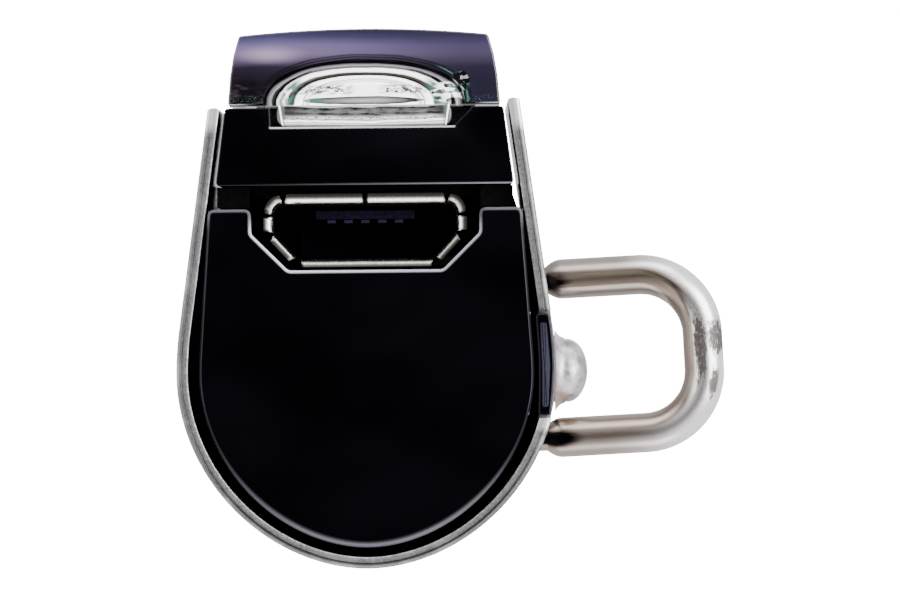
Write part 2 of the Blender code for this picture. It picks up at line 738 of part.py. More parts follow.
def make_button():
    """The flush button in the band's front edge, and the switch that it presses."""
    inner, outer = BUTTON_X
    front = FRONT + 0.05
    low = (inner, front, BUTTON_Z[0])
    button = box("unlock_button", low, (outer, BUTTON_REAR, BUTTON_Z[1]), "gloss_black", round_off=0.12)
    lip = box("button_lip", (inner, -21.6, -0.9), (6.73, -20.7, 1.6), None)
    join(button, lip)
    join(button, box("button_stem", (5.62, -22.7, -0.07), (6.9, -21.9, 0.73), None))
    low = (inner + 0.1, front - 1, BUTTON_Z[0] + 0.27)
    high = (outer - 0.14, front + 0.12, BUTTON_Z[1] - 0.27)
    cut(button, box("button_panel", low, high, None))
    switch = box("button_switch", (4.7, -22.9, -0.5), (5.35, -21.7, 1.16), "matte_black")
    join(switch, rod("button_switch_tip", 0.28, (5.2, -22.3, 0.33), 0.25, "X", None, segments=16))


make_band()
make_lower_housing()
make_upper_housing()
make_top_cover()
make_lens()
make_inner_frame()
make_rear()
make_port()
make_board()
make_chassis()
make_shackle()
make_locking_plate()
make_drive()
make_plunger()
make_button()
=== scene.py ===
"""Looks of the miniature disc brake lock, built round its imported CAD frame.

Sizes are in millimetres in the row frame: +X to the shackle, +Z to the dome, -Y to the charging port.
The main sizes are read from the frame, and the rest are the shape's own proportions.
"""

import json
import math

import bmesh
import bpy
from mathutils import Matrix, Vector


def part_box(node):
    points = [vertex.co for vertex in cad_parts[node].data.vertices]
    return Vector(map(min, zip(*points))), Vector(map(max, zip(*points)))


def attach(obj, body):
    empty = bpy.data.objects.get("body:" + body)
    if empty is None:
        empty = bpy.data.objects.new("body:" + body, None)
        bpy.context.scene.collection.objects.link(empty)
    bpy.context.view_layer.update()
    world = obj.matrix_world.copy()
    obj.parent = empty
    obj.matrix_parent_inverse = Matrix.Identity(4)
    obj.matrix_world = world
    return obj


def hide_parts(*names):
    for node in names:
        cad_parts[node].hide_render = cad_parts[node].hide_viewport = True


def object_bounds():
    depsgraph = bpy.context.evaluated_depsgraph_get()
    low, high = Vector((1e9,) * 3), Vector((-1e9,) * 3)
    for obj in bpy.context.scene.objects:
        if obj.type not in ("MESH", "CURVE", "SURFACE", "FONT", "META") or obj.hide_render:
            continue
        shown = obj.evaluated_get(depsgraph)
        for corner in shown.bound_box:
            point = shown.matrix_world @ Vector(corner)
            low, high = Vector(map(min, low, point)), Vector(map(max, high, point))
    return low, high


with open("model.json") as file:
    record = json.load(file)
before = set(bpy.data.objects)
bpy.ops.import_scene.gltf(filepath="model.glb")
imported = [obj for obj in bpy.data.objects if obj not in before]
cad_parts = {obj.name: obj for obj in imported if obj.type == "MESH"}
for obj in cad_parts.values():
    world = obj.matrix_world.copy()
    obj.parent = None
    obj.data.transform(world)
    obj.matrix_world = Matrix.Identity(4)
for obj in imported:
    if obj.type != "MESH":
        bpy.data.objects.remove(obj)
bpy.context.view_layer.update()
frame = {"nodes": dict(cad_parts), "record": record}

MM = 0.001


def node_box(name):
    """Lowest and highest corner of a CAD node in millimetres."""
    low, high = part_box(name)
    return low / MM, high / MM


BAND_LOW, BAND_HIGH = node_box("steel_band")
HOUSING_LOW, HOUSING_HIGH = node_box("lower_housing")
BLOCK_LOW, BLOCK_HIGH = node_box("upper_housing")
DOME_LOW, DOME_HIGH = node_box("top_cover")
LENS_LOW, LENS_HIGH = node_box("lens")
SHELL_REAR = node_box("usb_shell")[1].y
LIP_ROOT = -23.3
SHACKLE_LOW, SHACKLE_HIGH = node_box("shackle")
PLUNGER_LOW, PLUNGER_HIGH = node_box("arming_plunger")
BUTTON_LOW, BUTTON_HIGH = node_box("unlock_button")

# Body, seen from the front
HALF_WIDTH = BAND_HIGH.x
DROP = 7.47
ROUNDNESS = 1.92
SHOULDER_RADIUS = 13.0
BAND_TAPER = math.radians(7.9)
BAND_THICKNESS = 0.46
BAND_TOP_LEFT = 10.32
BAND_TOP_RIGHT = BAND_HIGH.z
HOUSING_INSET = 0.87
HOUSING_TAPER = math.radians(3.8)
HOUSING_STRETCH = 1.01
WALL = 0.75
PORT_NOTCH = ((4.38, 5.45), (2.97, 4.05))
BLOCK_HALF_TOP = 5.36
DOME_CORNER_Z = 13.08
DOME_HALF_TOP = 4.80
RECESS_BACK = -21.0
ARCH_POWER = 2.3
LENS_FOOT = 10.33
LENS_ARCH = (3.8, 1.68)
BAR_HALF = 3.36
BAR_LOW = 9.62
BAR_HIGH = 10.43
SILL = 9.56
RIB_FRONT = -20.5
BAND_NOTCH_REAR = -21.3

# Lock frame, tilted up towards the shackle
LOCK_Y = (PLUNGER_LOW.y + PLUNGER_HIGH.y) / 2
LOCK_Z = 0.145
LOCK_TILT = math.radians(2.7)
LEG_HALF_SPACING = 3.125
WIRE_RADIUS = (SHACKLE_HIGH.y - SHACKLE_LOW.y) / 2
SHANK_RADIUS = 0.5
GROOVE_RADIUS = 0.32
GROOVE = (3.85, 4.55)
LEG_TIP = 3.1
SHOULDER_UPPER = 7.18
SHOULDER_LOWER = 6.86
SHOULDER_LENGTH = 0.62
LOOP_END = 13.24
BEND_RADIUS = 2.42
LOCK_FRAME = Matrix.Translation((0, LOCK_Y, LOCK_Z)) @ Matrix.Rotation(-LOCK_TILT, 4, "Y")

# Brightness of the plain background
PLAIN_WHITE = 18.0


# ---- node helpers


def set_stops(marks, stops):
    """Fill a colour ramp with (place, colour) pairs, where a plain number is a grey level."""
    while len(marks) < len(stops):
        marks.new(0.5)
    for mark, (place, color) in zip(marks, stops):
        mark.position = place
        mark.color = (*color, 1.0) if isinstance(color, tuple) else (color, color, color, 1.0)


def operator(operation):
    """A method that adds one calculation to the shader."""
    return lambda self, *others: self.finish.calc(operation, self, *others)


class Value:
    """A shader value that takes part in sums as a number does."""

    def __init__(self, finish, socket):
        self.finish = finish
        self.socket = socket

    __add__ = operator("ADD")
    __sub__ = operator("SUBTRACT")
    __mul__ = operator("MULTIPLY")
    __truediv__ = operator("DIVIDE")
    __pow__ = operator("POWER")
    __abs__ = operator("ABSOLUTE")

    def __rsub__(self, other):
        return self.finish.calc("SUBTRACT", other, self)

    def either(self, other):
        """The larger of two values, or this one where there is no other."""
        return self if other is None else self.finish.calc("MAXIMUM", other, self)

    def clamped(self):
        self.socket.node.use_clamp = True
        return self


class Finish:
    """A Principled material with short calls for its procedural nodes."""

    def __init__(self, name, color, roughness, metallic=0.0, **sockets):
        self.material = bpy.data.materials.new(name)
        self.material.use_nodes = True
        self.tree = self.material.node_tree
        self.shader = self.tree.nodes["Principled BSDF"]
        self.set("Base Color", (*color, 1.0))
        self.set("Roughness", roughness)
        self.set("Metallic", metallic)
        for socket, value in sockets.items():
            self.set(socket.replace("_", " "), value)
        self.place = self.node("TexCoord").outputs["Object"]

    def set(self, socket, value):
        self.shader.inputs[socket].default_value = value

    def node(self, kind, **inputs):
        made = self.tree.nodes.new("ShaderNode" + kind)
        for name, value in inputs.items():
            self.feed(made.inputs[name.replace("_", " ")], value)
        return made

    def feed(self, socket, value):
        if isinstance(value, Value):
            value = value.socket
        if isinstance(value, bpy.types.NodeSocket):
            self.tree.links.new(value, socket)
        else:
            socket.default_value = value

    def link(self, socket, value):
        self.feed(self.shader.inputs[socket], value)

    def done(self, color, roughness, normal):
        """The finished material."""
        self.link("Base Color", color)
        self.link("Roughness", roughness)
        self.link("Normal", normal)
        return self.material

    def stretched(self, size, stretch, lift=0.0):
        """The row frame's place in steps of size millimetres, stretched along the axes and moved."""
        scaled = self.node("VectorMath", Vector=self.place)
        scaled.operation = "MULTIPLY"
        scaled.inputs[1].default_value = tuple(1 / (size * MM * s) for s in stretch)
        moved = self.node("VectorMath", Vector=scaled.outputs[0])
        moved.inputs[1].default_value = (lift, lift, lift)
        return moved.outputs[0]

    def noise(self, size, detail=3.0, stretch=(1, 1, 1), rough=0.55, lift=0.0):
        """Noise whose features are about size millimetres across."""
        place = self.stretched(size, stretch, lift)
        made = self.node("TexNoise", Vector=place, Scale=1.0, Detail=detail, Roughness=rough)
        return Value(self, made.outputs["Fac"])

    def cells(self, size, stretch=(1, 1, 1)):
        """A random level for each angular cell, about size millimetres across."""
        made = self.node("TexVoronoi", Vector=self.stretched(size, stretch), Scale=1.0)
        split = self.node("SeparateXYZ", Vector=made.outputs["Color"])
        return Value(self, split.outputs["X"])

    def axis(self, name):
        """One coordinate of the row frame in millimetres."""
        split = self.node("SeparateXYZ", Vector=self.place)
        return Value(self, split.outputs[name]) * (1 / MM)

    def attribute(self, name):
        made = self.node("Attribute")
        made.attribute_name = name
        return Value(self, made.outputs["Fac"])

    def calc(self, operation, a, b=0.0):
        made = self.node("Math")
        made.operation = operation
        self.feed(made.inputs[0], a)
        self.feed(made.inputs[1], b)
        return Value(self, made.outputs[0])

    def ellipse(self, x, z, centre, half, power=2.0):
        """How far a point is from an ellipse's centre: 1 on its line. A higher power squares it."""
        across = abs((x - centre[0]) / half[0])
        up = abs((z - centre[1]) / half[1])
        return (across**power + up**power) ** (1 / power)

    def scale(self, value, low, high, to_low=0.0, to_high=1.0, linear=False):
        made = self.node("MapRange", Value=value)
        made.interpolation_type = "LINEAR" if linear else "SMOOTHSTEP"
        for socket, number in zip(made.inputs[1:5], (low, high, to_low, to_high)):
            socket.default_value = number
        return Value(self, made.outputs["Result"])

    def falling(self, value, low, high, start=1.0):
        """From start at the low value to 0 at the high one."""
        return self.scale(value, low, high, start, 0.0)

    def ramp(self, value, *stops, mode="LINEAR"):
        """Colours or levels at places along a value from 0 to 1."""
        made = self.node("ValToRGB", Fac=value)
        made.color_ramp.interpolation = mode
        set_stops(made.color_ramp.elements, stops)
        return Value(self, made.outputs["Color"])

    def mix(self, factor, a, b):
        made = self.node("Mix")
        made.data_type = "RGBA"
        self.feed(made.inputs[0], factor)
        for socket, value in ((made.inputs[6], a), (made.inputs[7], b)):
            self.feed(socket, (*value, 1.0) if isinstance(value, tuple) else value)
        return Value(self, made.outputs[2])

    def bump(self, height, depth, strength=1.0, after=None):
        """Bump of a depth in millimetres."""
        made = self.node("Bump", Height=height, Strength=strength)
        made.inputs["Distance"].default_value = depth * MM
        if after is not None:
            self.feed(made.inputs["Normal"], after)
        return Value(self, made.outputs["Normal"])


# ---- mesh helpers


def quarter(steps):
    """Turns from 0 to 90 degrees."""
    return [math.radians(90) * step / steps for step in range(steps + 1)]


def skin(shape, rows, caps=True):
    """Faces between rows of vertices, with optional end faces."""
    for a, b in zip(rows, rows[1:]):
        for i in range(len(a)):
            j = (i + 1) % len(a)
            shape.faces.new((a[i], a[j], b[j], b[i]))
    if caps:
        shape.faces.new(rows[0])
        shape.faces.new(rows[-1])


def loft(rings, caps=True):
    """A skin over rings of points in millimetres. Without caps, the last ring is the first one again."""
    shape = bmesh.new()
    skin(shape, [[shape.verts.new(point) for point in ring] for ring in rings], caps)
    if not caps:
        bmesh.ops.remove_doubles(shape, verts=shape.verts, dist=0.0001)
    return shape


def mark(shape, name, values):
    """Give every vertex a number for a material to read."""
    layer = shape.verts.layers.float.new(name)
    for vert, value in zip(shape.verts, values):
        vert[layer] = value


def add_mesh(name, shape, place=Matrix.Identity(4), sharp=35):
    """Write a bmesh given in millimetres to an object in metres."""
    bmesh.ops.transform(shape, matrix=Matrix.Scale(MM, 4) @ place, verts=shape.verts)
    bmesh.ops.recalc_face_normals(shape, faces=shape.faces)
    mesh = bpy.data.meshes.new(name)
    shape.to_mesh(mesh)
    shape.free()
    mesh.shade_smooth()
    mesh.set_sharp_from_angle(angle=math.radians(sharp))
    return add_object(name, mesh)


def add_object(name, data):
    """Put an object in the scene."""
    made = bpy.data.objects.new(name, data)
    bpy.context.scene.collection.objects.link(made)
    return made


def bake(piece):
    """Apply a piece's modifiers to its mesh."""
    bpy.context.view_layer.update()
    evaluated = piece.evaluated_get(bpy.context.evaluated_depsgraph_get())
    mesh = bpy.data.meshes.new_from_object(evaluated)
    mesh.shade_smooth()
    mesh.set_sharp_from_angle(angle=math.radians(35))
    piece.modifiers.clear()
    piece.data = mesh


def combine(piece, others, operation="DIFFERENCE"):
    """Cut other pieces from a piece, or join them to it, and remove them."""
    for other in others:
        change = piece.modifiers.new(other.name, "BOOLEAN")
        change.operation = operation
        change.solver = "EXACT"
        change.object = other
    bake(piece)
    for other in others:
        bpy.data.objects.remove(other)


def soften(piece, width):
    """Round every edge sharper than 50 degrees."""
    bevel = piece.modifiers.new("rounding", "BEVEL")
    bevel.width = width * MM
    bevel.segments = 3
    bevel.limit_method = "ANGLE"
    bevel.angle_limit = math.radians(50)
    bevel.harden_normals = False
    bake(piece)


def block(name, low, high, place=Matrix.Identity(4)):
    """A box between two corners."""
    shape = bmesh.new()
    bmesh.ops.create_cube(shape, size=1.0)
    low, high = Vector(low), Vector(high)
    fit = Matrix.Translation((low + high) / 2) @ Matrix.Diagonal((*(high - low), 1.0))
    bmesh.ops.transform(shape, matrix=fit, verts=shape.verts)
    return add_mesh(name, shape, place)


def circle(radius, along, sides=48):
    """Points of a circle round the X axis, at a place along it."""
    turns = [2 * math.pi * step / sides for step in range(sides)]
    return [(along, radius * math.cos(turn), radius * math.sin(turn)) for turn in turns]


def turned(name, rings, centre, place=Matrix.Identity(4), caps=True):
    """A piece turned about +X through a centre, from its rings."""
    shape = loft(rings, caps)
    bmesh.ops.translate(shape, vec=Vector(centre), verts=shape.verts)
    return add_mesh(name, shape, place)


def rod(name, radius, start, end, centre, place=Matrix.Identity(4)):
    """A round bar along X."""
    return turned(name, [circle(radius, along) for along in (start, end)], centre, place)


def prism(name, outline, front, rear):
    """Extrude an outline of (x, z) points along Y."""
    return add_mesh(name, loft([ring_at(outline, y) for y in (front, rear)]))


def dress(piece, body, slot, *nodes, finish=None):
    """Attach a piece to its body, give it its material, usually the slot's, and hide the nodes it stands
    for.
    """
    piece.data.materials.clear()
    piece.data.materials.append(MATERIALS[finish or slot])
    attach(piece, body)
    if nodes:
        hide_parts(*nodes)


# ---- outlines in the XZ plane


def mirrored(points):
    """The same points on the other side, from the last to the first."""
    return [(-x, z) for x, z in reversed(points)]


def side_outline(taper, inset, top_left, top_right, end_steps=56, shoulder_steps=8):
    """The round end and its two straight sides, from the left top round the bottom to the right top."""
    right = []
    for step in range(end_steps + 1):
        turn = math.radians(90) * (1 - step / end_steps)
        x = HALF_WIDTH * max(math.cos(turn), 0.0) ** (2 / ROUNDNESS)
        z = -DROP * math.sin(turn) ** (2 / ROUNDNESS)
        slope_x = (x / HALF_WIDTH) ** (ROUNDNESS - 1) / HALF_WIDTH
        slope_z = -((-z / DROP) ** (ROUNDNESS - 1)) / DROP
        length = math.hypot(slope_x, slope_z)
        right.append((x - inset * slope_x / length, z - inset * slope_z / length))
    centre = HALF_WIDTH - SHOULDER_RADIUS
    reach = SHOULDER_RADIUS - inset
    for step in range(1, shoulder_steps + 1):
        turn = taper * step / shoulder_steps
        right.append((centre + reach * math.cos(turn), reach * math.sin(turn)))
    x0, z0 = right[-1]

    def straight(top, count=6):
        points = []
        for step in range(1, count + 1):
            z = z0 + (top - z0) * step / count
            points.append((x0 - (z - z0) * math.tan(taper), z))
        return points

    left = mirrored(right[1:])
    left_side = mirrored(straight(top_left))
    return [*left_side, *left, *right, *straight(top_right)]


def rounded(outline, radius, steps=6):
    """Replace every corner sharper than 25 degrees by an arc."""
    result = []
    count = len(outline)
    for i, corner in enumerate(outline):
        corner = Vector(corner)
        before = Vector(outline[i - 1]) - corner
        after = Vector(outline[(i + 1) % count]) - corner
        turn = math.pi - before.angle(after)
        if turn < math.radians(25):
            result.append(tuple(corner))
            continue
        reach = min(radius * math.tan(turn / 2), before.length * 0.45, after.length * 0.45)
        start = corner + before.normalized() * reach
        end = corner + after.normalized() * reach
        for step in range(steps + 1):
            t = step / steps
            point = start * (1 - t) ** 2 + corner * 2 * t * (1 - t) + end * t * t
            result.append(tuple(point))
    return result


def inset_outline(outline, distance, weights=None):
    """Move a closed anticlockwise outline inwards. weights scales the distance point by point."""
    result = []
    count = len(outline)
    for i, corner in enumerate(outline):
        before = (Vector(corner) - Vector(outline[i - 1])).normalized()
        after = (Vector(outline[(i + 1) % count]) - Vector(corner)).normalized()
        inward = Vector((-before.y - after.y, before.x + after.x)).normalized()
        stretch = max(inward.dot(Vector((-after.y, after.x))), 0.5)
        reach = distance * (weights[i] if weights else 1.0) / stretch
        result.append(tuple(Vector(corner) + inward * reach))
    return result


def arch(half_width, base, rise, steps=64):
    """Points of a slightly squared half ellipse from its right foot over the top to its left foot."""
    points = []
    for step in range(steps + 1):
        turn = math.pi * step / steps
        across, up = math.cos(turn), max(math.sin(turn), 0.0)
        x = math.copysign(abs(across) ** (2 / ARCH_POWER), across)
        points.append((half_width * x, base + rise * up ** (2 / ARCH_POWER)))
    return points


def ring_at(outline, y):
    return [(x, y, z) for x, z in outline]


def rounded_face(outline, radius, face, steps=8, rim=0.06, depth_sign=1):
    """Rings from inside a flat front or rear face, over its rounded edge."""
    rings = [ring_at(inset_outline(outline, radius + rim), face)]
    for turn in quarter(steps):
        inset = radius * (1 - math.sin(turn))
        depth = radius * (1 - math.cos(turn))
        rings.append(ring_at(inset_outline(outline, inset), face + depth_sign * depth))
    return rings


def smooth(low, high, value):
    t = min(max((value - low) / (high - low), 0.0), 1.0)
    return t * t * (3 - 2 * t)


# ---- materials


def band_finish():
    """Rolled strip with a sheared edge, dull and mottled outside. Its front edge carries painted light:
    painted shade over the outer rounding, brighter towards the inner corner, a painted dark line along the
    groove, and painted highlights near the top of the left end and at the foot of the notch.
    """
    finish = Finish("band_strip_steel", (0.5, 0.5, 0.5), 0.36, 1.0)
    grain = finish.noise(0.07, 5.0, (1, 6, 1), 0.65)
    mottle = finish.noise(0.11, 5.0, rough=0.8, lift=2.0)
    blotch = finish.noise(1.1, 3.0, lift=8.0)
    z = finish.axis("Z")
    across = finish.attribute("across")
    wander = (mottle - 0.5) * 0.25
    low = finish.falling(z, -5.5, -2.5)
    # Painted shading across the front edge's rounding: very dark at the outer corner, mid grey over the
    # outer half, brighter towards the inner corner and darker again right at it.
    edge = finish.ramp(
        (across + wander).clamped(),
        (0.0, (0.04, 0.04, 0.045)), (0.08, 0.2), (0.2, 0.3), (0.55, 0.34), (0.7, (0.5, 0.5, 0.51)),
        (0.9, (0.62, 0.62, 0.63)), (1.0, 0.3),
    )
    edge = finish.mix(finish.scale(mottle, 0.36, 0.6, 0.0, 0.75), edge, (0.17, 0.17, 0.175))
    edge = finish.mix(finish.scale(blotch, 0.5, 0.7, 0.0, 0.35), edge, (0.7, 0.7, 0.71))
    # A painted dark line of shade along the groove, on the lower part of the band only.
    line = finish.falling(abs(across - 0.4), 0.03, 0.12, 0.8)
    edge = finish.mix(line * low, edge, (0.05, 0.05, 0.05))
    # A painted near-white highlight on the edge near the top of the band's left end.
    tip = finish.scale(z, BAND_TOP_LEFT - 1.1, BAND_TOP_LEFT - 0.5, 0.0, 0.9)
    edge = finish.mix(tip, edge, (1.0, 0.98, 0.98))
    # A painted near-white highlight on the edge just under the button notch, on the right.
    notch_foot_highlight = finish.scale(z, BUTTON_LOW.z - 0.7, BUTTON_LOW.z - 0.35)
    notch_foot_highlight *= finish.falling(z, BUTTON_LOW.z, BUTTON_LOW.z + 0.2)
    on_right = finish.scale(finish.axis("X"), 0.0, 1.0, 0.0, 0.9)
    edge = finish.mix(notch_foot_highlight * on_right, edge, (1.0, 0.98, 0.98))
    face = finish.mix(finish.scale(grain, 0.3, 0.7), (0.7, 0.7, 0.71), (0.5, 0.5, 0.51))
    on_edge = finish.falling(finish.axis("Y"), BAND_LOW.y + 0.16, BAND_LOW.y + 0.22)
    notch_end = finish.falling(abs(finish.axis("Y") - BAND_NOTCH_REAR), 0.02, 0.05)
    sheared = notch_end.either(on_edge)
    roughness = finish.scale(sheared + grain, 0.5, 1.5, 0.14, 0.42)
    color = finish.mix(on_edge, face, edge)
    return finish.done(color, roughness, finish.bump(mottle * on_edge, 0.012, 0.8))


def gloss_finish(name, color, tint, rough=0.07):
    """Moulded gloss plastic: faint flow marks and dust, with painted highlights along its edges and a
    painted highlight line under the lens.
    """
    finish = Finish(name, color, rough, 0.0, Specular_Tint=(0.82, 0.82, 1.0, 1.0), Specular_IOR_Level=0.3)
    flow = finish.noise(5.0, 1.0, (1, 2, 0.6))
    base = finish.mix(finish.scale(flow, 0.3, 0.75), color, tint)
    # Painted highlights along the edges, as strong as each mesh marks them.
    edge_highlight = finish.attribute("edge_highlight")
    base = finish.mix(edge_highlight * edge_highlight, base, (0.85, 0.83, 0.95))
    x, z = finish.axis("X"), finish.axis("Z")
    # A painted highlight line along the notch floor under the lens, on the front face only.
    sill_highlight = finish.falling(abs(z - (SILL - 0.03)), 0.02, 0.055)
    under_lens = finish.falling(abs(x + 0.08), 3.5, 3.62, 0.75)
    at_front = finish.falling(finish.axis("Y"), BLOCK_LOW.y + 0.2, BLOCK_LOW.y + 0.3)
    base = finish.mix(sill_highlight * at_front * under_lens, base, (0.75, 0.74, 0.82))
    dust = finish.noise(0.05, 2.0, lift=7.0)
    roughness = finish.scale(dust, 0.6, 0.8, rough, rough * 3)
    return finish.done(base, roughness, finish.bump(finish.noise(0.5, 2.0, lift=3.0), 0.004, 0.3))


def dome_finish():
    """Smoked violet plastic with painted light on its front: a painted lavender reflection over the recess,
    fading to the right and dark at its feet, a painted highlight at the upper left, painted dark rings
    round the recess edge and painted glints near the lens; with a lighter smudge at the lower left and fine
    dust.
    """
    finish = Finish("smoked_dome_plastic", (0.02, 0.016, 0.03), 0.1, 0.0, Coat_Weight=0.5)
    x, z = finish.axis("X"), finish.axis("Z")
    cloud = finish.noise(2.2, 2.0, (2.5, 1, 0.6)) - 0.5
    height = z + cloud * 0.35
    # A painted lavender reflection of the light above: dark low down, brightest across the upper part of
    # the front and dark again at the top edge.
    painted_light_and_smudge = finish.ramp(
        finish.scale(height, DOME_LOW.z, DOME_HIGH.z, linear=True),
        (0.0, (0.004, 0.004, 0.005)), (0.3, (0.006, 0.005, 0.008)), (0.48, (0.02, 0.014, 0.028)),
        (0.66, (0.16, 0.12, 0.21)), (0.76, (0.14, 0.115, 0.23)), (0.88, (0.05, 0.045, 0.1)),
        (0.96, (0.03, 0.028, 0.06)), (1.0, (0.002, 0.002, 0.003)),
    )
    # The painted reflection fades to dark towards the right.
    right = finish.scale(x, -3.0, 4.5, 0.0, 0.7)
    painted_light_and_smudge = finish.mix(right, painted_light_and_smudge, (0.02, 0.017, 0.035))
    # A painted lavender highlight at the upper left.
    highlight_spot = finish.falling(finish.ellipse(x, z, (-3.6, 12.35), (1.7, 0.45)), 0.0, 1.0, 0.7)
    painted_light_and_smudge = finish.mix(highlight_spot, painted_light_and_smudge, (0.4, 0.33, 0.46))
    # Painted dark rings round the recess edge, standing in for reflections in its curved lip, and dark
    # inside the recess itself.
    ring = finish.ellipse(x, z, (0.05, DOME_LOW.z), (3.98, 1.82), ARCH_POWER)
    warp = (finish.noise(1.2, 3.0) - 0.5) * 0.05
    around = ((ring + warp - 0.8) * 2.5).clamped()
    rim = finish.ramp(
        around,
        (0.0, 1.0), (0.3, 1.0), (0.36, 0.35), (0.42, 0.95), (0.47, 0.4), (0.54, 0.75), (0.62, 0.0),
    )
    painted_light_and_smudge = finish.mix(rim, painted_light_and_smudge, (0.002, 0.001, 0.003))
    # A painted teal glint along one ring near the recess's right foot.
    foot_green = finish.scale(x, 2.6, 3.0) * finish.scale(z, 12.0, 11.7)
    green_glint_arc = finish.falling(abs(around - 0.48), 0.0, 0.05)
    painted_light_and_smudge = finish.mix(foot_green * green_glint_arc, painted_light_and_smudge, (0.05, 0.16, 0.12))
    # Painted angular glints, bright, teal and dark, near the lens at the right.
    glint_tones = finish.ramp(
        finish.cells(0.2, (1, 9, 0.7)),
        (0.0, (0.002, 0.002, 0.003)), (0.4, (0.03, 0.1, 0.08)), (0.55, (0.003, 0.003, 0.004)),
        (0.7, (0.35, 0.35, 0.4)), (0.8, (0.02, 0.02, 0.03)),
        mode="CONSTANT",
    )
    shard_glints = finish.falling(finish.ellipse(x, z, (3.7, 11.25), (0.42, 0.5)), 0.75, 1.0)
    painted_light_and_smudge = finish.mix(shard_glints, painted_light_and_smudge, glint_tones)
    smudge = finish.scale(finish.noise(0.5, 5.0, (3, 1, 0.5), 0.75, 3.0), 0.5, 0.62, 0.0, 0.8)
    low_left = finish.falling(z, 11.2, 11.6) * finish.scale(x, -3.6, -3.9)
    painted_light_and_smudge = finish.mix(smudge * low_left, painted_light_and_smudge, (0.045, 0.032, 0.038))
    # Painted green glints along the seam low on the front.
    glint_speck = finish.scale(finish.noise(0.05, 2.0, rough=0.5, lift=6.0), 0.6, 0.68)
    seam = finish.falling(abs(z - 10.62), 0.0, 0.2)
    painted_light_and_smudge = finish.mix(glint_speck * seam, painted_light_and_smudge, (0.1, 0.26, 0.2))
    at_front = finish.falling(finish.axis("Y"), DOME_LOW.y + 0.2, DOME_LOW.y + 1.6)
    rise = finish.scale(z, DOME_LOW.z, DOME_HIGH.z)
    away = finish.mix(rise, (0.02, 0.018, 0.03), (0.035, 0.03, 0.06))
    color = finish.mix(at_front, away, painted_light_and_smudge)
    roughness = finish.scale(finish.noise(0.06, 3.0, lift=5.0), 0.5, 0.8, 0.08, 0.3)
    return finish.done(color, roughness, finish.bump(finish.noise(0.9, 2.0, lift=2.0), 0.006, 0.25))


def grey(level, tint=(1.0, 1.0, 1.0)):
    """A tone of the clear optic, from 0 for black to 1 for white, spaced as the eye sees it."""
    return tuple(level**3.4 * c for c in tint)


def greys(*stops):
    """Ramp stops from (place, level) or (place, level, tint)."""
    return [(place, grey(*tone)) for place, *tone in stops]


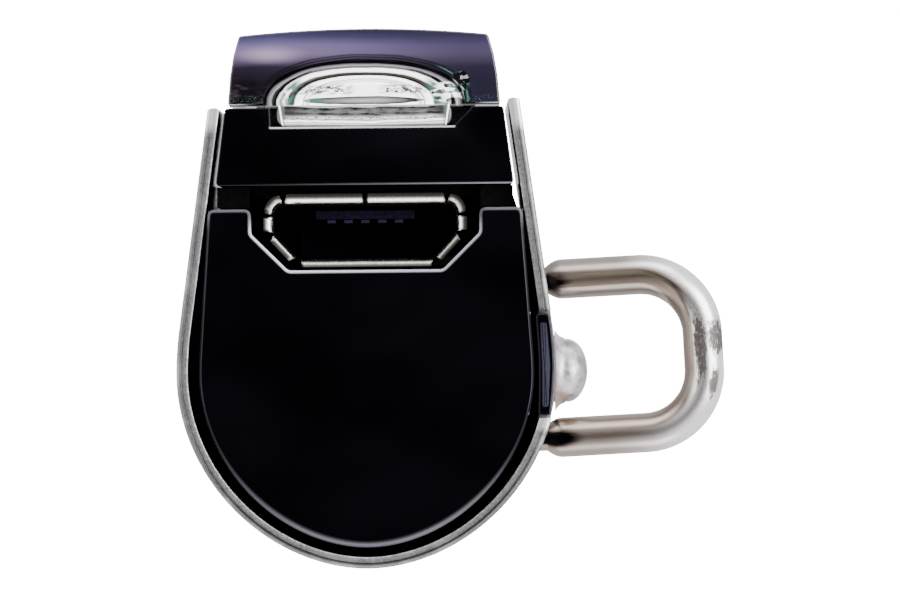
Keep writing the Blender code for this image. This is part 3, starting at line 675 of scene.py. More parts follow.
def lens_finish():
    """Clear optic, its look all painted light in place of refraction: nested bright and dark rings over the
    dome part, a pale pool below them, streaks along the bar, bright lines at the bar's ends and angular
    glints at the right, all given off as light though the lens is no lamp.
    """
    finish = Finish("clear_optic", (0.9, 0.93, 0.93), 0.05, 0.0, Coat_Weight=0.6, Coat_Roughness=0.02)
    x, z = finish.axis("X"), finish.axis("Z")
    warp = finish.noise(0.9, 4.0, (1.5, 1, 0.8)) - 0.5
    ring = finish.ellipse(x, z, (0.0, LENS_FOOT), LENS_ARCH, ARCH_POWER)
    ring = (ring + warp * 0.07).clamped()
    arcs = finish.ramp(
        ring,
        *greys(
            (0.0, 1.0), (0.54, 1.0), (0.585, 0.72), (0.605, 1.0), (0.625, 0.55), (0.64, 1.0),
            (0.7, 1.0), (0.72, 0.3), (0.74, 0.05), (0.765, 0.42, (1.0, 0.75, 0.75)),
            (0.785, 0.05), (0.81, 1.0), (0.87, 1.0), (0.89, 0.05), (0.93, 0.08),
            (0.945, 0.62, (0.95, 0.85, 1.0)), (0.98, 0.5, (0.9, 0.8, 1.0)), (1.0, 0.15),
        ),
    )
    crinkle = finish.noise(0.13, 6.0, (2.2, 1, 0.7), 0.8, 9.0)
    off_centre = finish.scale(abs(x - 0.1), 0.35, 0.8)
    belt = finish.falling(abs(z - 10.99), 0.1, 0.24)
    inside = finish.falling(ring, 0.66, 0.74)
    creased = off_centre * belt * inside * finish.scale(crinkle, 0.45, 0.53)
    arcs = finish.mix(creased, arcs, grey(0.2))
    teal_band = finish.scale(ring, 0.7, 0.76) * finish.falling(ring, 0.84, 0.9)
    side = finish.scale(abs(x), 2.2, 2.7)
    patchy = finish.scale(finish.noise(0.6, 2.0, lift=12.0), 0.38, 0.5)
    teal = teal_band * side * patchy
    arcs = finish.mix(teal, arcs, (0.035, 0.09, 0.075))
    spindle = finish.ellipse(x, z, (0.0, 10.56), (2.5, 0.17))
    spindle = (spindle + warp * 0.5).clamped()
    tinted = finish.falling(x, -2.0, -1.2, 0.8)
    pool = finish.ramp(
        spindle,
        *greys(
            (0.0, 0.68, (0.95, 0.9, 1.0)), (0.45, 0.55), (0.7, 0.42), (0.84, 0.08), (0.9, 0.3),
            (1.0, 1.0),
        ),
    )
    pool = finish.mix(tinted, pool, (0.03, 0.08, 0.065))
    arcs = finish.mix(finish.falling(spindle, 0.92, 1.0), arcs, pool)
    bow = (x / BAR_HALF) ** 2.0 * -0.1
    level = z + bow + warp * 0.2
    bar = finish.ramp(
        finish.scale(level, 9.6, 10.5, linear=True),
        *greys(
            (0.0, 0.6), (0.04, 0.85), (0.1, 0.62), (0.14, 1.0), (0.18, 0.95), (0.23, 0.6),
            (0.31, 0.8), (0.4, 0.5), (0.46, 0.18), (0.5, 0.1), (0.56, 0.42),
            (0.64, 0.36, (0.95, 0.95, 1.0)), (0.71, 0.12), (0.76, 0.2), (0.8, 0.7), (0.86, 0.5),
            (0.9, 1.0), (1.0, 1.0),
        ),
    )
    grain = finish.scale(finish.noise(0.2, 4.0, (3.0, 1, 0.8), 0.65, 14.0), 0.38, 0.62, 0.0, 0.6)
    middle = finish.falling(abs(z - 10.12), 0.12, 0.3, 0.3)
    bar = finish.mix(grain * middle, bar, grey(0.7))
    ends = finish.scale(abs(x - 0.1), 2.2, 3.0, 0.0, 0.75)
    bar = finish.mix(ends * (middle * 3.2), bar, grey(0.2))
    fleck = finish.scale(finish.noise(0.07, 3.0, (2.5, 1, 0.6), 0.6, 4.0), 0.54, 0.6)
    low = finish.falling(abs(z - 9.88), 0.04, 0.12)
    bar = finish.mix(fleck * low, bar, grey(0.3, (0.9, 0.9, 1.0)))
    wall = abs(x)
    slope = wall + (BAR_HIGH - z) * 0.16
    # A painted bright line up each end wall of the bar.
    line = finish.falling(abs(slope - 3.27), 0.01, 0.045)
    bar = finish.mix(finish.scale(wall, 3.0, 3.15), bar, grey(0.45))
    bar = finish.mix(line, bar, grey(1.0))
    on_bar = finish.falling(z, 10.36, 10.41)
    painted = finish.mix(on_bar, arcs, bar)
    # Painted angular glints, bright, teal and dark, at the right.
    shard_glints = finish.falling(finish.ellipse(x, z, (3.25, 10.85), (0.75, 0.45)), 0.7, 1.0)
    glint_tones = finish.ramp(
        finish.cells(0.22, (1.3, 9, 0.7)),
        *greys(
            (0.0, 0.25), (0.2, 1.0), (0.55, 0.55, (0.6, 1.0, 0.85)), (0.7, 0.95), (0.85, 0.1),
        ),
        mode="CONSTANT",
    )
    painted = finish.mix(shard_glints * 0.8, painted, glint_tones)
    # The painted pattern is also given off as light, though the lens is no lamp.
    finish.link("Emission Color", painted)
    finish.set("Emission Strength", 2.6)
    roughness = finish.scale(creased, 0.2, 0.8, 0.05, 0.4)
    return finish.done(painted, roughness, finish.bump(crinkle, 0.012, 0.4))


def shackle_finish():
    """Warm satin nickel: draw marks along the wire, painted bands of reflection across it, a painted bright
    highlight on the bend, brown scuffs and painted dark shade at the shoulders.
    """
    finish = Finish("shackle_satin_nickel", (0.6, 0.55, 0.5), 0.27, 1.0)
    along, outer = finish.attribute("along"), finish.attribute("outer")
    side = finish.attribute("side")
    lines = finish.node("CombineXYZ")
    finish.feed(lines.inputs[0], along * 0.3)
    finish.feed(lines.inputs[1], outer * 6.0)
    finish.feed(lines.inputs[2], side * 6.0)
    streak = finish.node("TexNoise", Vector=lines.outputs[0], Scale=1.0, Detail=5.0)
    streak = Value(finish, streak.outputs["Fac"]) - 0.5
    fine = finish.noise(0.08, 4.0, rough=0.7)
    bend = finish.scale(along, 6.8, 9.2) * finish.falling(along, 15.6, 18.6)
    drift = finish.scale(along, 7.4, 11.5, 0.0, 0.85) - finish.scale(along, 13.5, 17.5, 0.0, 0.3)
    # Painted bands of reflection: light and dark stripes along the wire, moved round it towards the bend.
    sweep = outer + drift + streak * 0.35
    tone = finish.ramp(
        finish.scale(sweep, -1.0, 2.0, linear=True),
        (0.0, (0.26, 0.23, 0.21)), (0.12, (0.22, 0.185, 0.155)), (0.175, (0.42, 0.36, 0.3)),
        (0.21, (0.19, 0.15, 0.12)), (0.31, (0.28, 0.23, 0.18)), (0.36, (0.46, 0.39, 0.32)),
        (0.4, (0.28, 0.23, 0.18)), (0.42, (0.17, 0.135, 0.11)), (0.46, (0.28, 0.24, 0.2)),
        (0.5, (0.34, 0.3, 0.265)), (0.62, (0.3, 0.27, 0.24)), (1.0, (0.3, 0.27, 0.24)),
    )
    # A painted near-white highlight on the outer side of the bend.
    bright = bend * finish.scale(sweep, 0.25, 0.65)
    tone = finish.mix(bright, tone, (1.0, 0.975, 0.955))
    lower_leg = finish.scale(along, 15.0, 17.5, 0.0, 0.65)
    tone = finish.mix(lower_leg, tone, (0.36, 0.3, 0.25))
    tone = finish.mix(finish.scale(fine, 0.45, 0.75, 0.0, 0.35), tone, (0.25, 0.22, 0.2))
    wobble = (finish.noise(0.16, 5.0, (0.7, 1, 2.0), 0.75) - 0.5) * 2.0
    speckle = finish.scale(finish.noise(0.1, 4.0, (0.6, 1, 1.6), 0.7, 5.0), 0.24, 0.46, 0.3, 1.0)
    front = finish.scale(side, 0.2, -0.1)
    patches = None
    scuffs = (((12.1, -0.14), (1.6, 0.36)), ((11.75, 0.68), (0.72, 0.5)), ((13.4, 0.5), (0.6, 0.24)))
    for centre, half in scuffs:
        reach = finish.ellipse(along, outer, centre, half)
        patch = finish.falling(reach + wobble, 0.7, 1.1)
        patches = patch.either(patches)
    patches = patches * front * speckle
    tone = finish.mix(patches * 0.92, tone, (0.05, 0.038, 0.034))
    # Painted dark shade on the front of each leg next to the band.
    shade = None
    for centre, half in (((3.9, -0.15), (1.25, 0.72)), ((20.45, 0.05), (1.3, 0.55))):
        reach = finish.ellipse(along, outer, centre, half) + streak * 0.6
        wedge = finish.falling(reach, 0.55, 1.1)
        shade = wedge.either(shade)
    tone = finish.mix(shade * front, tone, (0.004, 0.003, 0.003))
    roughness = finish.scale(patches, 0.0, 1.0, 0.3, 0.55)
    return finish.done(tone, roughness, finish.bump(fine, 0.004, 0.6))


def tumbled_finish():
    """Tumbled steel: frosted, with soft warm and cool clouds and painted shade at its right rim."""
    finish = Finish("plunger_tumbled_steel", (0.6, 0.59, 0.58), 0.4, 1.0)
    cloud = finish.noise(0.55, 3.0, lift=3.0)
    fine = finish.noise(0.06, 5.0, rough=0.75, lift=1.0)
    tone = finish.ramp(
        cloud,
        (0.3, (0.36, 0.35, 0.37)), (0.42, (0.52, 0.51, 0.53)), (0.52, (0.8, 0.79, 0.81)),
        (0.6, (0.72, 0.7, 0.69)), (0.7, (0.55, 0.49, 0.44)),
    )
    tone = finish.mix(finish.scale(fine, 0.45, 0.7, 0.0, 0.35), tone, (0.3, 0.29, 0.31))
    x, z = finish.axis("X"), finish.axis("Z")
    # Painted shade at the dome's right rim.
    tone = finish.mix(finish.scale(x, 8.2, 8.6, 0.0, 0.6), tone, (0.22, 0.21, 0.23))
    warm = finish.scale(z, -0.4, -0.9) * finish.scale(x, 8.1, 7.7)
    tone = finish.mix(warm * 0.7, tone, (0.5, 0.36, 0.27))
    roughness = finish.scale(fine, 0.3, 0.7, 0.3, 0.55)
    return finish.done(tone, roughness, finish.bump(cloud, 0.05, 0.5, finish.bump(fine, 0.012, 0.8)))


def lip_finish():
    """Nickel-plated sheet with painted light across each lip: a painted highlight along the middle of the
    fold, with painted shade at its root and towards its edge.
    """
    finish = Finish("port_nickel_sheet", (0.5, 0.48, 0.42), 0.2, 1.0)
    fine = finish.noise(0.09, 4.0, rough=0.7)
    flare = finish.attribute("flare")
    moved = (flare + (fine - 0.5) * 0.16).clamped()
    # Painted light across the lip, from its root to its edge: dark, then a bright painted highlight, then
    # painted shade towards the edge.
    tone = finish.ramp(
        moved,
        (0.0, 0.02), (0.15, (0.12, 0.11, 0.09)), (0.36, (0.55, 0.51, 0.43)),
        (0.46, (1.0, 0.97, 0.9)), (0.66, (1.0, 0.98, 0.93)), (0.76, (0.3, 0.28, 0.25)),
        (0.86, (0.05, 0.05, 0.045)), (1.0, (0.03, 0.03, 0.028)),
    )
    color = finish.mix(finish.scale(fine, 0.55, 0.75, 0.0, 0.3), tone, (0.2, 0.18, 0.15))
    roughness = finish.scale(fine, 0.3, 0.7, 0.1, 0.22)
    return finish.done(color, roughness, finish.bump(fine, 0.004, 0.5))


def plain_finish(name, color, rough, metallic=0.0, size=0.3, depth=0.006, spread=0.35):
    """Quiet material for the pieces inside and for small hardware."""
    finish = Finish(name, color, rough, metallic, Specular_IOR_Level=0.5 if color[0] > 0.01 else 0.06)
    grain = finish.noise(size, 4.0)
    darker = tuple(c * (1 - spread) for c in color)
    color = finish.mix(finish.scale(grain, 0.3, 0.7), color, darker)
    roughness = finish.scale(grain, 0.3, 0.7, rough * 0.85, min(rough * 1.2, 1.0))
    return finish.done(color, roughness, finish.bump(grain, depth, 0.5))


MATERIALS = {
    "band_steel": band_finish(),
    "shackle_steel": shackle_finish(),
    "plunger_steel": tumbled_finish(),
    "gloss_black": gloss_finish("gloss_black_plastic", (0.0008, 0.0008, 0.0012), (0.0022, 0.0018, 0.0032)),
    "panel_grey": gloss_finish("tab_panel_plastic", (0.02, 0.02, 0.032), (0.05, 0.05, 0.075), 0.2),
    "smoked_dome": dome_finish(),
    "clear_lens": lens_finish(),
    "matte_black": plain_finish("matte_black_plastic", (0.0035, 0.0032, 0.0038), 0.7),
    "seal_rubber": plain_finish("seal_rubber", (0.02, 0.02, 0.02), 0.8),
    "screw_steel": plain_finish("screw_plated_steel", (0.5, 0.5, 0.52), 0.35, 1.0, 0.12),
    "plated_steel": plain_finish("zinc_plated_steel", (0.6, 0.6, 0.62), 0.38, 1.0, 0.8, 0.003),
    "port_nickel": lip_finish(),
    "contact_metal": plain_finish("contact_plating", (0.75, 0.6, 0.33), 0.3, 1.0, 0.1),
    "board": plain_finish("board_solder_mask", (0.003, 0.004, 0.0035), 0.5, 0.0, 0.6, 0.01, 0.5),
    # The port's contacts in a dark violet tone: painted shade for their place deep in the port.
    "painted_shade": plain_finish("contact_tarnished", (0.07, 0.055, 0.13), 0.4, 1.0, 0.1),
    "tongue_violet": plain_finish("tongue_violet", (0.008, 0.006, 0.02), 0.6, 0.0, 0.12, 0.01, 0.8),
    "led_resin": plain_finish("led_resin", (0.9, 0.82, 0.45), 0.25, 0.0, 0.2, 0.002, 0.2),
    "cell_foil": plain_finish("cell_foil", (0.55, 0.56, 0.58), 0.42, 0.8, 1.2, 0.02, 0.2),
}


# ---- band and housings


def make_band():
    """The bent strip: a rounded section swept round the body, with its holes and its notch."""
    edge_outer, edge_inner, groove = 0.15, 0.07, 0.035
    section = []
    for turn in reversed(quarter(4)):
        section.append((edge_outer * (1 - math.sin(turn)), edge_outer * (1 - math.cos(turn))))
    middle = BAND_THICKNESS * 0.46
    section += [(middle - 0.03, 0.0), (middle, groove), (middle + 0.03, 0.0)]
    for turn in quarter(4):
        inset = BAND_THICKNESS - edge_inner * (1 - math.sin(turn))
        section.append((inset, edge_inner * (1 - math.cos(turn))))
    front = [(inset, BAND_LOW.y + depth) for inset, depth in section]
    rear = [(inset, BAND_HIGH.y - depth) for inset, depth in reversed(section)]
    loop = [*front, (BAND_THICKNESS, -12.0), *rear, (0.0, -12.0)]
    lines = [side_outline(BAND_TAPER, inset, BAND_TOP_LEFT, BAND_TOP_RIGHT) for inset, _ in loop]
    half = BAND_THICKNESS / 2
    tip = 0.1
    rings = []
    count = len(lines[0])
    for i in range(1, count - 1):
        rings.append([(line[i][0], y, line[i][1]) for line, (_, y) in zip(lines, loop)])

    def end_rings(index, top):
        """Stations that round the strip's end over, up to its top."""
        made = []
        for turn in quarter(6):
            ring = []
            for inset, y in loop:
                pulled = half + (inset - half) * max(math.cos(turn), 0.02)
                x = side_outline(BAND_TAPER, pulled, top, top)[index][0]
                z = top - tip + tip * math.sin(turn)
                side = 1 if x > 0 else -1
                ring.append((x + side * (top - z) * math.tan(BAND_TAPER), y, z))
            made.append(ring)
        return made

    rings = [*reversed(end_rings(0, BAND_TOP_LEFT)), *rings, *end_rings(-1, BAND_TOP_RIGHT)]
    shape = loft(rings)
    mark(shape, "across", [inset / BAND_THICKNESS for inset, _ in loop] * len(rings))
    band = add_mesh("steel_band_strip", shape)
    cutters = []
    for side in (-1, 1):
        centre = (0, 0, side * LEG_HALF_SPACING)
        cutters.append(rod(f"leg_hole_{side}", 0.62, 5.6, 8.0, centre, LOCK_FRAME))
    plunger_z = (PLUNGER_LOW.z + PLUNGER_HIGH.z) / 2
    cutters.append(rod("plunger_hole", 1.34, 6.0, 8.0, (0, LOCK_Y, plunger_z)))
    low = (6.0, BAND_LOW.y - 1, BUTTON_LOW.z - 0.08)
    high = (8.0, BAND_NOTCH_REAR, BUTTON_HIGH.z + 0.08)
    cutters.append(block("button_notch", low, high))
    combine(band, cutters)
    dress(band, "body", "band_steel", "steel_band")


def graded(width, depth, steps=14, power=2.4):
    """(share of the width, depth) pairs over an edge that bends slowly at first and fast at its rim."""
    pairs = [(1.0 + 0.05 / width, 0.0)]
    for step in range(steps + 1):
        t = step / steps
        pairs.append((1 - t, depth * t**power))
    return [*pairs, (0.0, depth + 0.03)]


def make_lower_housing():
    """The gloss tub: a graded front edge, a bevelled port notch and a rib that meets the band."""
    top = HOUSING_HIGH.z
    side, bottom = PORT_NOTCH
    notch = [(side[0], top), side, bottom]
    notch += mirrored(notch)
    even = side_outline(HOUSING_TAPER, HOUSING_INSET, top, top)
    outer = [(x, z * HOUSING_STRETCH if z < 0 else z) for x, z in even]
    outline = rounded([*outer, *notch], 0.3, 6)
    widths = []
    for x, z in outline:
        outside = abs(x) > 4.9 or z < 3.9
        widths.append(0.13 + 0.19 * smooth(-2.0, -6.5, z) if outside and z < top - 0.35 else 0.17)
    eased = [sum(widths[(i + k) % len(widths)] for k in range(-3, 4)) / 7 for i in range(len(widths))]
    rings = []
    # Each ring's share of the painted edge highlight: none on the flat face, strongest over the outer part
    # of the rounded edge, fading at its rim.
    shines = []
    for share, depth in graded(0.25, 0.2):
        rings.append(ring_at(inset_outline(outline, share, eased), HOUSING_LOW.y + depth))
        shines.append(smooth(1.0, 0.3, share) * smooth(0.0, 0.14, share))
    rings.append(ring_at(outline, HOUSING_LOW.y + 1.3))
    shines.append(0.0)
    # How strongly each point of the outline carries the painted edge highlight: strongest along the port
    # notch's slants and floor, more so on the left, softer up its upright walls and along the top edges,
    # and faint down the sides, growing towards the bottom.
    levels = []
    for x, z in outline:
        if abs(x) < 4.6 and 3.8 < z < 5.6:
            level = 0.8 + 0.2 * smooth(0.0, -3.0, x)
        elif abs(x) < 4.6 and z > 3.8:
            level = 0.36
        elif z > top - 0.3:
            level = 0.4
        else:
            level = 0.12 + 0.26 * smooth(-2.0, -6.0, z)
        levels.append(level)
    shape = loft(rings)
    mark(shape, "edge_highlight", [level * edge_highlight for edge_highlight in shines for level in levels])
    body = add_mesh("lower_housing_tub", shape)
    rib_outer = side_outline(BAND_TAPER, BAND_THICKNESS + 0.05, top, top)
    rib = rounded([*rib_outer, *notch], 0.3, 6)
    rib = prism("housing_rib", rib, RIB_FRONT, HOUSING_HIGH.y)
    combine(body, [rib], "UNION")
    opening = side_outline(HOUSING_TAPER, HOUSING_INSET + WALL, top + 1, top + 1)
    cutters = [prism("housing_cavity", opening, HOUSING_LOW.y + 0.8, 0.0)]
    low = (4.0, LOCK_Y - 2.9, -4.7)
    cutters.append(block("housing_lock_window", low, (8.0, LOCK_Y + 2.9, 5.2)))
    cutters.append(block("housing_button_hole", (5.0, -22.85, -0.22), (8.0, -21.75, 0.88)))
    combine(body, cutters)
    dress(body, "body", "gloss_black", "lower_housing")


def make_upper_housing():
    """The block above the port, with the lens notch in its top edge."""
    half = BLOCK_HIGH.x
    right = [(half, BLOCK_LOW.z), (BLOCK_HALF_TOP, BLOCK_HIGH.z)]
    outline = rounded([*right, *mirrored(right)], 0.16, 6)
    shape = loft([*rounded_face(outline, 0.05, BLOCK_LOW.y, 6, 0.03), ring_at(outline, BLOCK_HIGH.y)])
    # A painted highlight along the front of the block's bottom edge, fading out towards the left.
    layer = shape.verts.layers.float.new("edge_highlight")
    for vert in shape.verts:
        under = smooth(BLOCK_LOW.z + 0.1, BLOCK_LOW.z + 0.03, vert.co.z)
        vert[layer] = 0.55 * under * smooth(-5.4, -1.0, vert.co.x) if vert.co.y < BLOCK_LOW.y + 0.1 else 0.0
    body = add_mesh("upper_housing_block", shape)
    notch = [(3.46, SILL), (4.1, 10.2), (4.1, 11.0), (-3.63, 11.0), (-3.63, SILL)]
    cutters = [
        block("block_cavity", (-4.7, -23.0, 6.0), (4.7, -2.6, 9.2)),
        prism("block_lens_notch", notch, BLOCK_LOW.y - 1, RECESS_BACK),
        block("block_light_slot", (-2.6, -22.7, 8.8), (2.6, -21.5, 10.0)),
    ]
    combine(body, cutters)
    soften(body, 0.07)
    dress(body, "body", "gloss_black", "upper_housing")


def make_top_cover():
    """The smoked dome, crowned in front and above, with the lens recess."""
    crown = []
    steps = 16
    for step in range(steps + 1):
        x = DOME_HALF_TOP * (1 - step / steps)
        fall = (DOME_HIGH.z - DOME_CORNER_Z) * (x / DOME_HALF_TOP) ** 2
        crown.append((x, DOME_HIGH.z - fall))
    half = [(DOME_HIGH.x, DOME_LOW.z), (5.15, 11.5), (5.02, 12.3), *crown[:-1]]
    outline = [*half, (0, DOME_HIGH.z), *mirrored(half)]
    crowned = rounded(outline, 0.32, 8)
    outline = [outline[0], *[point for point in crowned if point[1] > 11.0], outline[-1]]

    def shrunk(amount, y):
        """The outline drawn in towards the middle of its foot."""
        ring = []
        for x, z in outline:
            rise = z - DOME_LOW.z
            z = DOME_LOW.z + amount * 0.02 + rise * (1 - amount * 0.03)
            ring.append((x * (1 - amount * 0.018), y, z))
        return ring

    rings = [shrunk(1.25, DOME_LOW.y)]
    for turn in quarter(10):
        rings.append(shrunk(1 - math.sin(turn), DOME_LOW.y + 0.14 * (1 - math.cos(turn))))
    rings += reversed(rounded_face(outline, 0.3, DOME_HIGH.y, depth_sign=-1))
    body = add_mesh("top_cover_dome", loft(rings))
    recess = [(3.88, 10.0), *arch(3.88, DOME_LOW.z, 1.67), (-3.88, 10.0)]
    cutters = [
        block("dome_cavity", (-4.3, -20.2, 9.0), (4.3, -1.2, 12.4)),
        prism("dome_lens_recess", recess, DOME_LOW.y - 1, RECESS_BACK),
    ]
    combine(body, cutters)
    soften(body, 0.04)
    dress(body, "body", "smoked_dome", "top_cover")


def make_lens():
    """The clear optic: a bulged bar, ridged arches above it and the thin flange at its sides."""
    front = LENS_LOW.y
    half, rise = LENS_ARCH
    reliefs = [
        (0.3, 0.3), (0.5, 0.26), (0.56, 0.34), (0.6, 0.22), (0.66, 0.1), (0.71, 0.16), (0.745, 0.34),
        (0.78, 0.2), (0.84, 0.04), (0.9, 0.0), (0.95, 0.04), (0.98, 0.14), (1.0, 0.32),
    ]
    rings = []
    for reach, depth in [*reliefs, (1.0, LENS_HIGH.y - front)]:
        base = LENS_FOOT + 0.12 * (1 - reach)
        line = arch(half * reach, LENS_FOOT, rise * reach, 96)
        rings.append([(x, front + depth, max(z, base)) for x, z in line])
        rings[-1][0] = (half * reach, front + depth, base)
        rings[-1][-1] = (-half * reach, front + depth, base)
    dome = add_mesh("lens_arches", loft(rings), sharp=50)
    bar = [(-BAR_HALF, BAR_LOW), (BAR_HALF, BAR_LOW), (BAR_HALF, BAR_HIGH), (-BAR_HALF, BAR_HIGH)]
    bar = rounded(bar, 0.36, 8)
    rings = [*rounded_face(bar, 0.09, front, rim=0.04), ring_at(bar, LENS_HIGH.y + 0.01)]
    bar = add_mesh("lens_bar", loft(rings))
    wings = []
    for side in (-1, 1):
        low_x, high_x = sorted((side * 3.2, side * 5.2))
        low = (low_x, front + 0.05, 10.365)
        wings.append(block(f"lens_wing_{side}", low, (high_x, LENS_HIGH.y - 0.01, 10.42)))
    combine(dome, [bar, *wings], "UNION")
    dress(dome, "body", "clear_lens", "lens")


# ---- charging port


def port_ring(offset):
    """The port's inner outline, with rounded corners, moved outwards."""
    right = [(2.5, 4.5), (3.45, 5.4), (3.45, 6.2), (3.1, 6.5)]
    outline = [*right, *mirrored(right)]
    return inset_outline(rounded(outline, 0.25, 6), -offset)


def add_lip(shape, path, flare, trim=0.12):
    """Add a flared lip along part of the mouth's outline, with rounded ends, to a bmesh."""
    layer = shape.verts.layers.float["flare"]
    path = [Vector(point) for point in path]
    reach = [0.0]
    for a, b in zip(path, path[1:]):
        reach.append(reach[-1] + (b - a).length)
    total = reach[-1]
    trim = min(trim, total * 0.3)
    marks = [0.0, trim * 0.1, trim * 0.3, trim * 0.6, trim]
    inner_marks = [total * step / 12 for step in range(1, 12)]
    between = [mark for mark in inner_marks if trim < mark < total - trim]
    marks = sorted({*marks, *(total - mark for mark in marks), *between})
    sheet = 0.2
    folds = 8
    rows = []
    for mark in marks:
        i = max(k for k in range(len(path) - 1) if reach[k] <= mark + 1e-9)
        along = (path[i + 1] - path[i]).normalized()
        point = path[i] + along * (mark - reach[i])
        ahead = (path[min(i + 2, len(path) - 1)] - path[i + 1]).normalized() if i + 2 < len(path) else along
        share = (mark - reach[i]) / (path[i + 1] - path[i]).length
        along = (along * (1 - share * 0.5) + ahead * share * 0.5).normalized()
        outward = Vector((along.y, -along.x))
        ease = min(min(mark, total - mark) / trim, 1.0)
        shrink = 0.45 + 0.55 * math.sqrt(1 - (1 - ease) ** 2)
        ring = []
        for step in range(folds + 1):
            turn = math.radians(75) * step / folds
            offset = flare * (1 - math.cos(turn)) / (1 - math.cos(math.radians(75))) * shrink
            place = point + outward * offset
            ring.append(((place.x, LIP_ROOT - 0.55 * math.sin(turn) * shrink, place.y), step / folds))
        for (x, y, z), share in list(reversed(ring)):
            back = Vector((x, z)) + outward * sheet * (1 - share)
            ring.append(((back.x, y + 0.05 + sheet * share, back.y), share))
        rows.append(ring)
    made = []
    for ring in rows:
        row = []
        for point, share in ring:
            vert = shape.verts.new(point)
            vert[layer] = share
            row.append(vert)
        made.append(row)
    skin(shape, made)


def corner(x, z, reach=0.2, steps=6, turn_from=0.0, turn_to=90.0):
    """Points of an arc round a centre."""
    turns = [math.radians(turn_from + (turn_to - turn_from) * step / steps) for step in range(steps + 1)]
    return [(x + reach * math.cos(t), z + reach * math.sin(t)) for t in turns]


def make_port():
    """The folded shell: a tube with flared lips round its mouth, split at the seam and the corners."""
    rings = []
    mouth = [(LIP_ROOT, 0.22), (LIP_ROOT - 0.08, 0.16), (LIP_ROOT - 0.08, 0.03), (LIP_ROOT, 0.0)]
    for y, offset in ((SHELL_REAR, 0.22), *mouth, (SHELL_REAR, 0.0)):
        rings.append(ring_at(port_ring(offset), y))
    shape = loft([*rings, rings[0]], caps=False)
    shape.verts.layers.float.new("flare")
    shape.verts.ensure_lookup_table()
    add_lip(shape, [(3.1, 6.5), (0.05, 6.5)], 0.48)
    add_lip(shape, [(-0.05, 6.5), (-3.1, 6.5)], 0.48)
    add_lip(shape, [(-2.5, 4.5), (2.6, 4.5)], 0.34)
    for side in (-1, 1):
        upright = [(side * 3.47, 5.5), (side * 3.47, 6.12)]
        bent = [(side * x, z) for x, z in corner(3.16, 6.24, 0.31, 10, -8.0, 88.0)]
        slant = [(side * 2.64, 4.58), (side * 3.46, 5.46)]
        for path, flare in ((upright, 0.45), (bent, 0.42), (slant, 0.34)):
            add_lip(shape, path if side > 0 else path[::-1], flare)
    shell = add_mesh("usb_shell_folded", shape, sharp=50)
    dress(shell, "body", "port_nickel", "usb_shell")


# ---- shackle, plunger and button


def leg_path(side, shoulder):
    """One leg from its tip to its shoulder, as (place, radius) in the lock frame."""
    w = side * LEG_HALF_SPACING
    stations = [(LEG_TIP, 0.34), (LEG_TIP + 0.06, 0.42), (LEG_TIP + 0.16, 0.48), (LEG_TIP + 0.25, 0.5)]
    stations += [(GROOVE[0] - 0.1, SHANK_RADIUS), (GROOVE[0], GROOVE_RADIUS)]
    stations += [(GROOVE[1], GROOVE_RADIUS), (GROOVE[1] + 0.1, SHANK_RADIUS)]
    stations += [(shoulder, SHANK_RADIUS)]
    for step in range(1, 13):
        t = step / 12
        bulge = math.sin(math.radians(90) * t) ** 0.8
        reach = shoulder + 0.02 + SHOULDER_LENGTH * t
        stations.append((reach, SHANK_RADIUS + (WIRE_RADIUS - SHANK_RADIUS) * bulge))
    return [(Vector((u, 0, w)), radius) for u, radius in stations]


def make_shackle():
    """The bent wire loop with its turned-down, grooved legs."""
    bend = []
    centre_u = LOOP_END - BEND_RADIUS
    for side in (1, -1):
        centre_w = side * (LEG_HALF_SPACING - BEND_RADIUS)
        for turn in quarter(36)[::side]:
            u = centre_u + BEND_RADIUS * math.sin(turn)
            w = centre_w + side * BEND_RADIUS * math.cos(turn)
            bend.append((Vector((u, 0, w)), WIRE_RADIUS))
    path = [*leg_path(1, SHOULDER_UPPER), *bend, *reversed(leg_path(-1, SHOULDER_LOWER))]
    rings = []
    marks = []
    travelled = 0.0
    sides = 56
    for i, (place, radius) in enumerate(path):
        travelled += (place - path[max(i - 1, 0)][0]).length
        ahead = path[min(i + 1, len(path) - 1)][0]
        behind = path[max(i - 1, 0)][0]
        along = (ahead - behind).normalized()
        across = Vector((0, 1, 0))
        other = along.cross(across)
        ring = []
        for step in range(sides):
            turn = 2 * math.pi * step / sides
            ring.append(place + (across * math.cos(turn) + other * math.sin(turn)) * radius)
            marks.append((travelled, math.sin(turn), math.cos(turn)))
        rings.append(ring)
    shape = loft(rings)
    for name, values in zip(("along", "outer", "side"), zip(*marks)):
        mark(shape, name, values)
    loop = add_mesh("shackle_loop", shape, LOCK_FRAME, 45)
    dress(loop, "shackle", "shackle_steel", "shackle")


def make_plunger():
    """The tumbled dome, and the flared collar that it slides in."""
    centre = (0, LOCK_Y, (PLUNGER_LOW.z + PLUNGER_HIGH.z) / 2)
    tip = PLUNGER_HIGH.x
    radius = 1.25
    dome_length = 0.8
    profile = []
    for turn in quarter(24):
        profile.append((tip - dome_length * (1 - math.cos(turn)), radius * math.sin(turn)))
    profile += [(7.2, radius), (6.56, radius), (6.55, 1.5), (6.35, 1.5), (6.35, 0.0)]
    rings = [circle(max(reach, 0.001), along, 72) for along, reach in profile]
    plunger = turned("arming_plunger_dome", rings, centre)
    dress(plunger, "plunger", "plunger_steel", "arming_plunger")
    inside = radius + 0.03
    collar = [(7.345, inside), (7.72, inside), (7.74, inside + 0.01)]
    for step in range(13):
        t = step / 12
        collar.append((7.74 - 0.38 * t, inside + 0.02 + 0.3 * t**2.0))
    collar += [(7.345, inside + 0.33)]
    rings = [circle(reach, along) for along, reach in [*collar, collar[0]]]
    ring = turned("plunger_collar_flare", rings, centre, caps=False)
    dress(ring, "body", "plunger_steel", "plunger_collar")


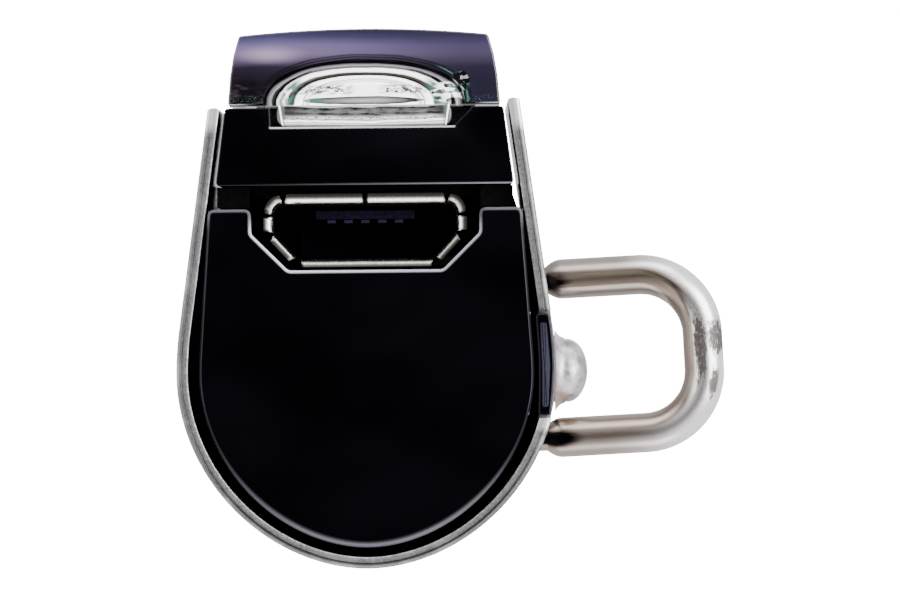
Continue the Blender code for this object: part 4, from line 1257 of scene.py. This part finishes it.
def make_button():
    """The flush tab, shaped to the band's curve, with a raised rim and a sunken grey panel."""
    front, rear = BUTTON_LOW.y, -21.4
    low, high = BUTTON_LOW.z, BUTTON_HIGH.z
    right = [(7.06, low), (7.17, -0.7), (7.225, 0.2), (7.2, 1.0), (7.13, 1.7), (7.05, high)]
    left = [(6.51, high), (6.57, 1.4), (6.62, 0.6), (6.62, -0.6), (6.58, low)]
    outline = rounded([*right, *left], 0.2, 6)
    rings = [*rounded_face(outline, 0.08, front, 5, 0.03), ring_at(outline, rear)]
    tab = add_mesh("unlock_button_tab", loft(rings))
    panel = [(6.7, low + 0.3), (7.04, low + 0.3), (7.12, 0.3)]
    panel = rounded([*panel, (7.0, high - 0.32), (6.64, high - 0.32), (6.71, 0.3)], 0.12)
    combine(tab, [prism("button_panel", panel, front - 1, front + 0.12)])
    line = inset_outline(panel, 0.02)
    rings = [*rounded_face(line, 0.09, front + 0.06, 5, 0.03), ring_at(line, front + 0.3)]
    inlay = add_mesh("unlock_button_inlay", loft(rings))
    dress(inlay, "button", "gloss_black", finish="panel_grey")
    lip = block("button_lip", (6.63, -21.6, -0.9), (6.73, -20.7, 1.6))
    stem = block("button_stem", (5.62, -22.7, -0.07), (6.9, -21.9, 0.73))
    combine(tab, [lip, stem], "UNION")
    dress(tab, "button", "gloss_black", "unlock_button")


# ---- carried-over nodes


def paint_nodes():
    """Give every carried-over CAD node the material of its slot."""
    slots = {part["node"]: part["material_slot"] for part in frame["record"]["subparts"]}
    for name, node in frame["nodes"].items():
        node.data.materials.clear()
        # The port's contacts take the painted shade material.
        special = {"usb_contact": "painted_shade", "usb_tongue": "tongue_violet"}
        slot = special.get(name.rstrip("_12345"), slots[name])
        node.data.materials.append(MATERIALS[slot])


# ---- stage, light and camera


def show_white(tree, usual, white, output):
    """Plain white where the camera looks straight at it, and the usual shader for every other ray."""
    white.inputs["Color"].default_value = (1.0, 1.0, 1.0, 1.0)
    white.inputs["Strength"].default_value = PLAIN_WHITE
    paths = tree.nodes.new("ShaderNodeLightPath")
    choose = tree.nodes.new("ShaderNodeMixShader")
    tree.links.new(paths.outputs["Is Camera Ray"], choose.inputs[0])
    tree.links.new(usual.outputs[0], choose.inputs[1])
    tree.links.new(white.outputs[0], choose.inputs[2])
    tree.links.new(choose.outputs[0], output.inputs["Surface"])


def make_world():
    """Soft white surroundings with a dark opening round the camera's side."""
    world = bpy.data.worlds.new("studio")
    world.use_nodes = True
    bpy.context.scene.world = world
    tree = world.node_tree
    background = tree.nodes["Background"]
    output = tree.nodes["World Output"]
    place = tree.nodes.new("ShaderNodeTexCoord")
    split = tree.nodes.new("ShaderNodeSeparateXYZ")
    tree.links.new(place.outputs["Generated"], split.inputs[0])
    spread = tree.nodes.new("ShaderNodeMapRange")
    tree.links.new(split.outputs["Y"], spread.inputs["Value"])
    spread.inputs["From Min"].default_value = -1.0
    ramp = tree.nodes.new("ShaderNodeValToRGB")
    tree.links.new(spread.outputs["Result"], ramp.inputs["Fac"])
    dark = [(0.0, 0.0), (0.005, 0.0)]
    stops = [*dark, (0.03, (0.3, 0.28, 0.27)), (0.1, (0.7, 0.68, 0.7)), (0.3, (0.95, 0.93, 1.0))]
    set_stops(ramp.color_ramp.elements, stops)
    tree.links.new(ramp.outputs["Color"], background.inputs["Color"])
    background.inputs["Strength"].default_value = 1.5
    show_white(tree, background, tree.nodes.new("ShaderNodeBackground"), output)


def make_floor():
    """A plain white floor under the lowest point, which leaves the reflections to the surroundings."""
    low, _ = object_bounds()
    mesh = bpy.data.meshes.new("floor")
    size = 3.0
    corners = [(-size, -size, low.z), (size, -size, low.z), (size, size, low.z), (-size, size, low.z)]
    mesh.from_pydata(corners, [], [(0, 1, 2, 3)])
    floor = add_object("floor", mesh)
    finish = bpy.data.materials.new("pale_floor")
    finish.use_nodes = True
    tree = finish.node_tree
    tree.nodes.clear()
    output = tree.nodes.new("ShaderNodeOutputMaterial")
    clear = tree.nodes.new("ShaderNodeBsdfTransparent")
    show_white(tree, clear, tree.nodes.new("ShaderNodeEmission"), output)
    mesh.materials.append(finish)


def add_light(name, place, aim, size, power):
    """A soft rectangular light. Its place and size are in millimetres."""
    data = bpy.data.lights.new(name, "AREA")
    data.shape = "RECTANGLE"
    data.size, data.size_y = size[0] * MM, size[1] * MM
    data.energy = power
    light = add_object(name, data)
    light.location = Vector(place) * MM
    light.rotation_euler = (Vector(aim) - Vector(place)).to_track_quat("-Z", "Y").to_euler()


def make_lights():
    middle = (3.0, -14.0, 3.0)
    add_light("key_above", (10, -70, 110), middle, (120, 70), 0.09)
    add_light("fill_left", (-110, -50, 20), middle, (60, 90), 0.03)
    add_light("fill_right", (110, -90, 25), middle, (90, 110), 0.24)
    add_light("fill_below", (0, -60, -110), middle, (120, 60), 0.05)


def make_camera():
    """The photograph's view: square on from the port's end, with a slight roll."""
    data = bpy.data.cameras.new("camera")
    data.sensor_width = 36.0
    stand_off = 420.0
    field = 34.615
    data.lens = 36.0 * stand_off / field
    data.clip_start = 0.01
    data.clip_end = 10.0
    camera = add_object("camera", data)
    place = Vector((3.236, HOUSING_LOW.y - stand_off, 2.846)) * MM
    turn = Matrix.Rotation(math.radians(90), 4, "X") @ Matrix.Rotation(math.radians(-0.55), 4, "Z")
    camera.matrix_world = Matrix.Translation(place) @ turn
    bpy.context.scene.camera = camera


make_band()
make_lower_housing()
make_upper_housing()
make_top_cover()
make_lens()
make_port()
make_shackle()
make_plunger()
make_button()
paint_nodes()
make_world()
make_floor()
make_lights()
make_camera()
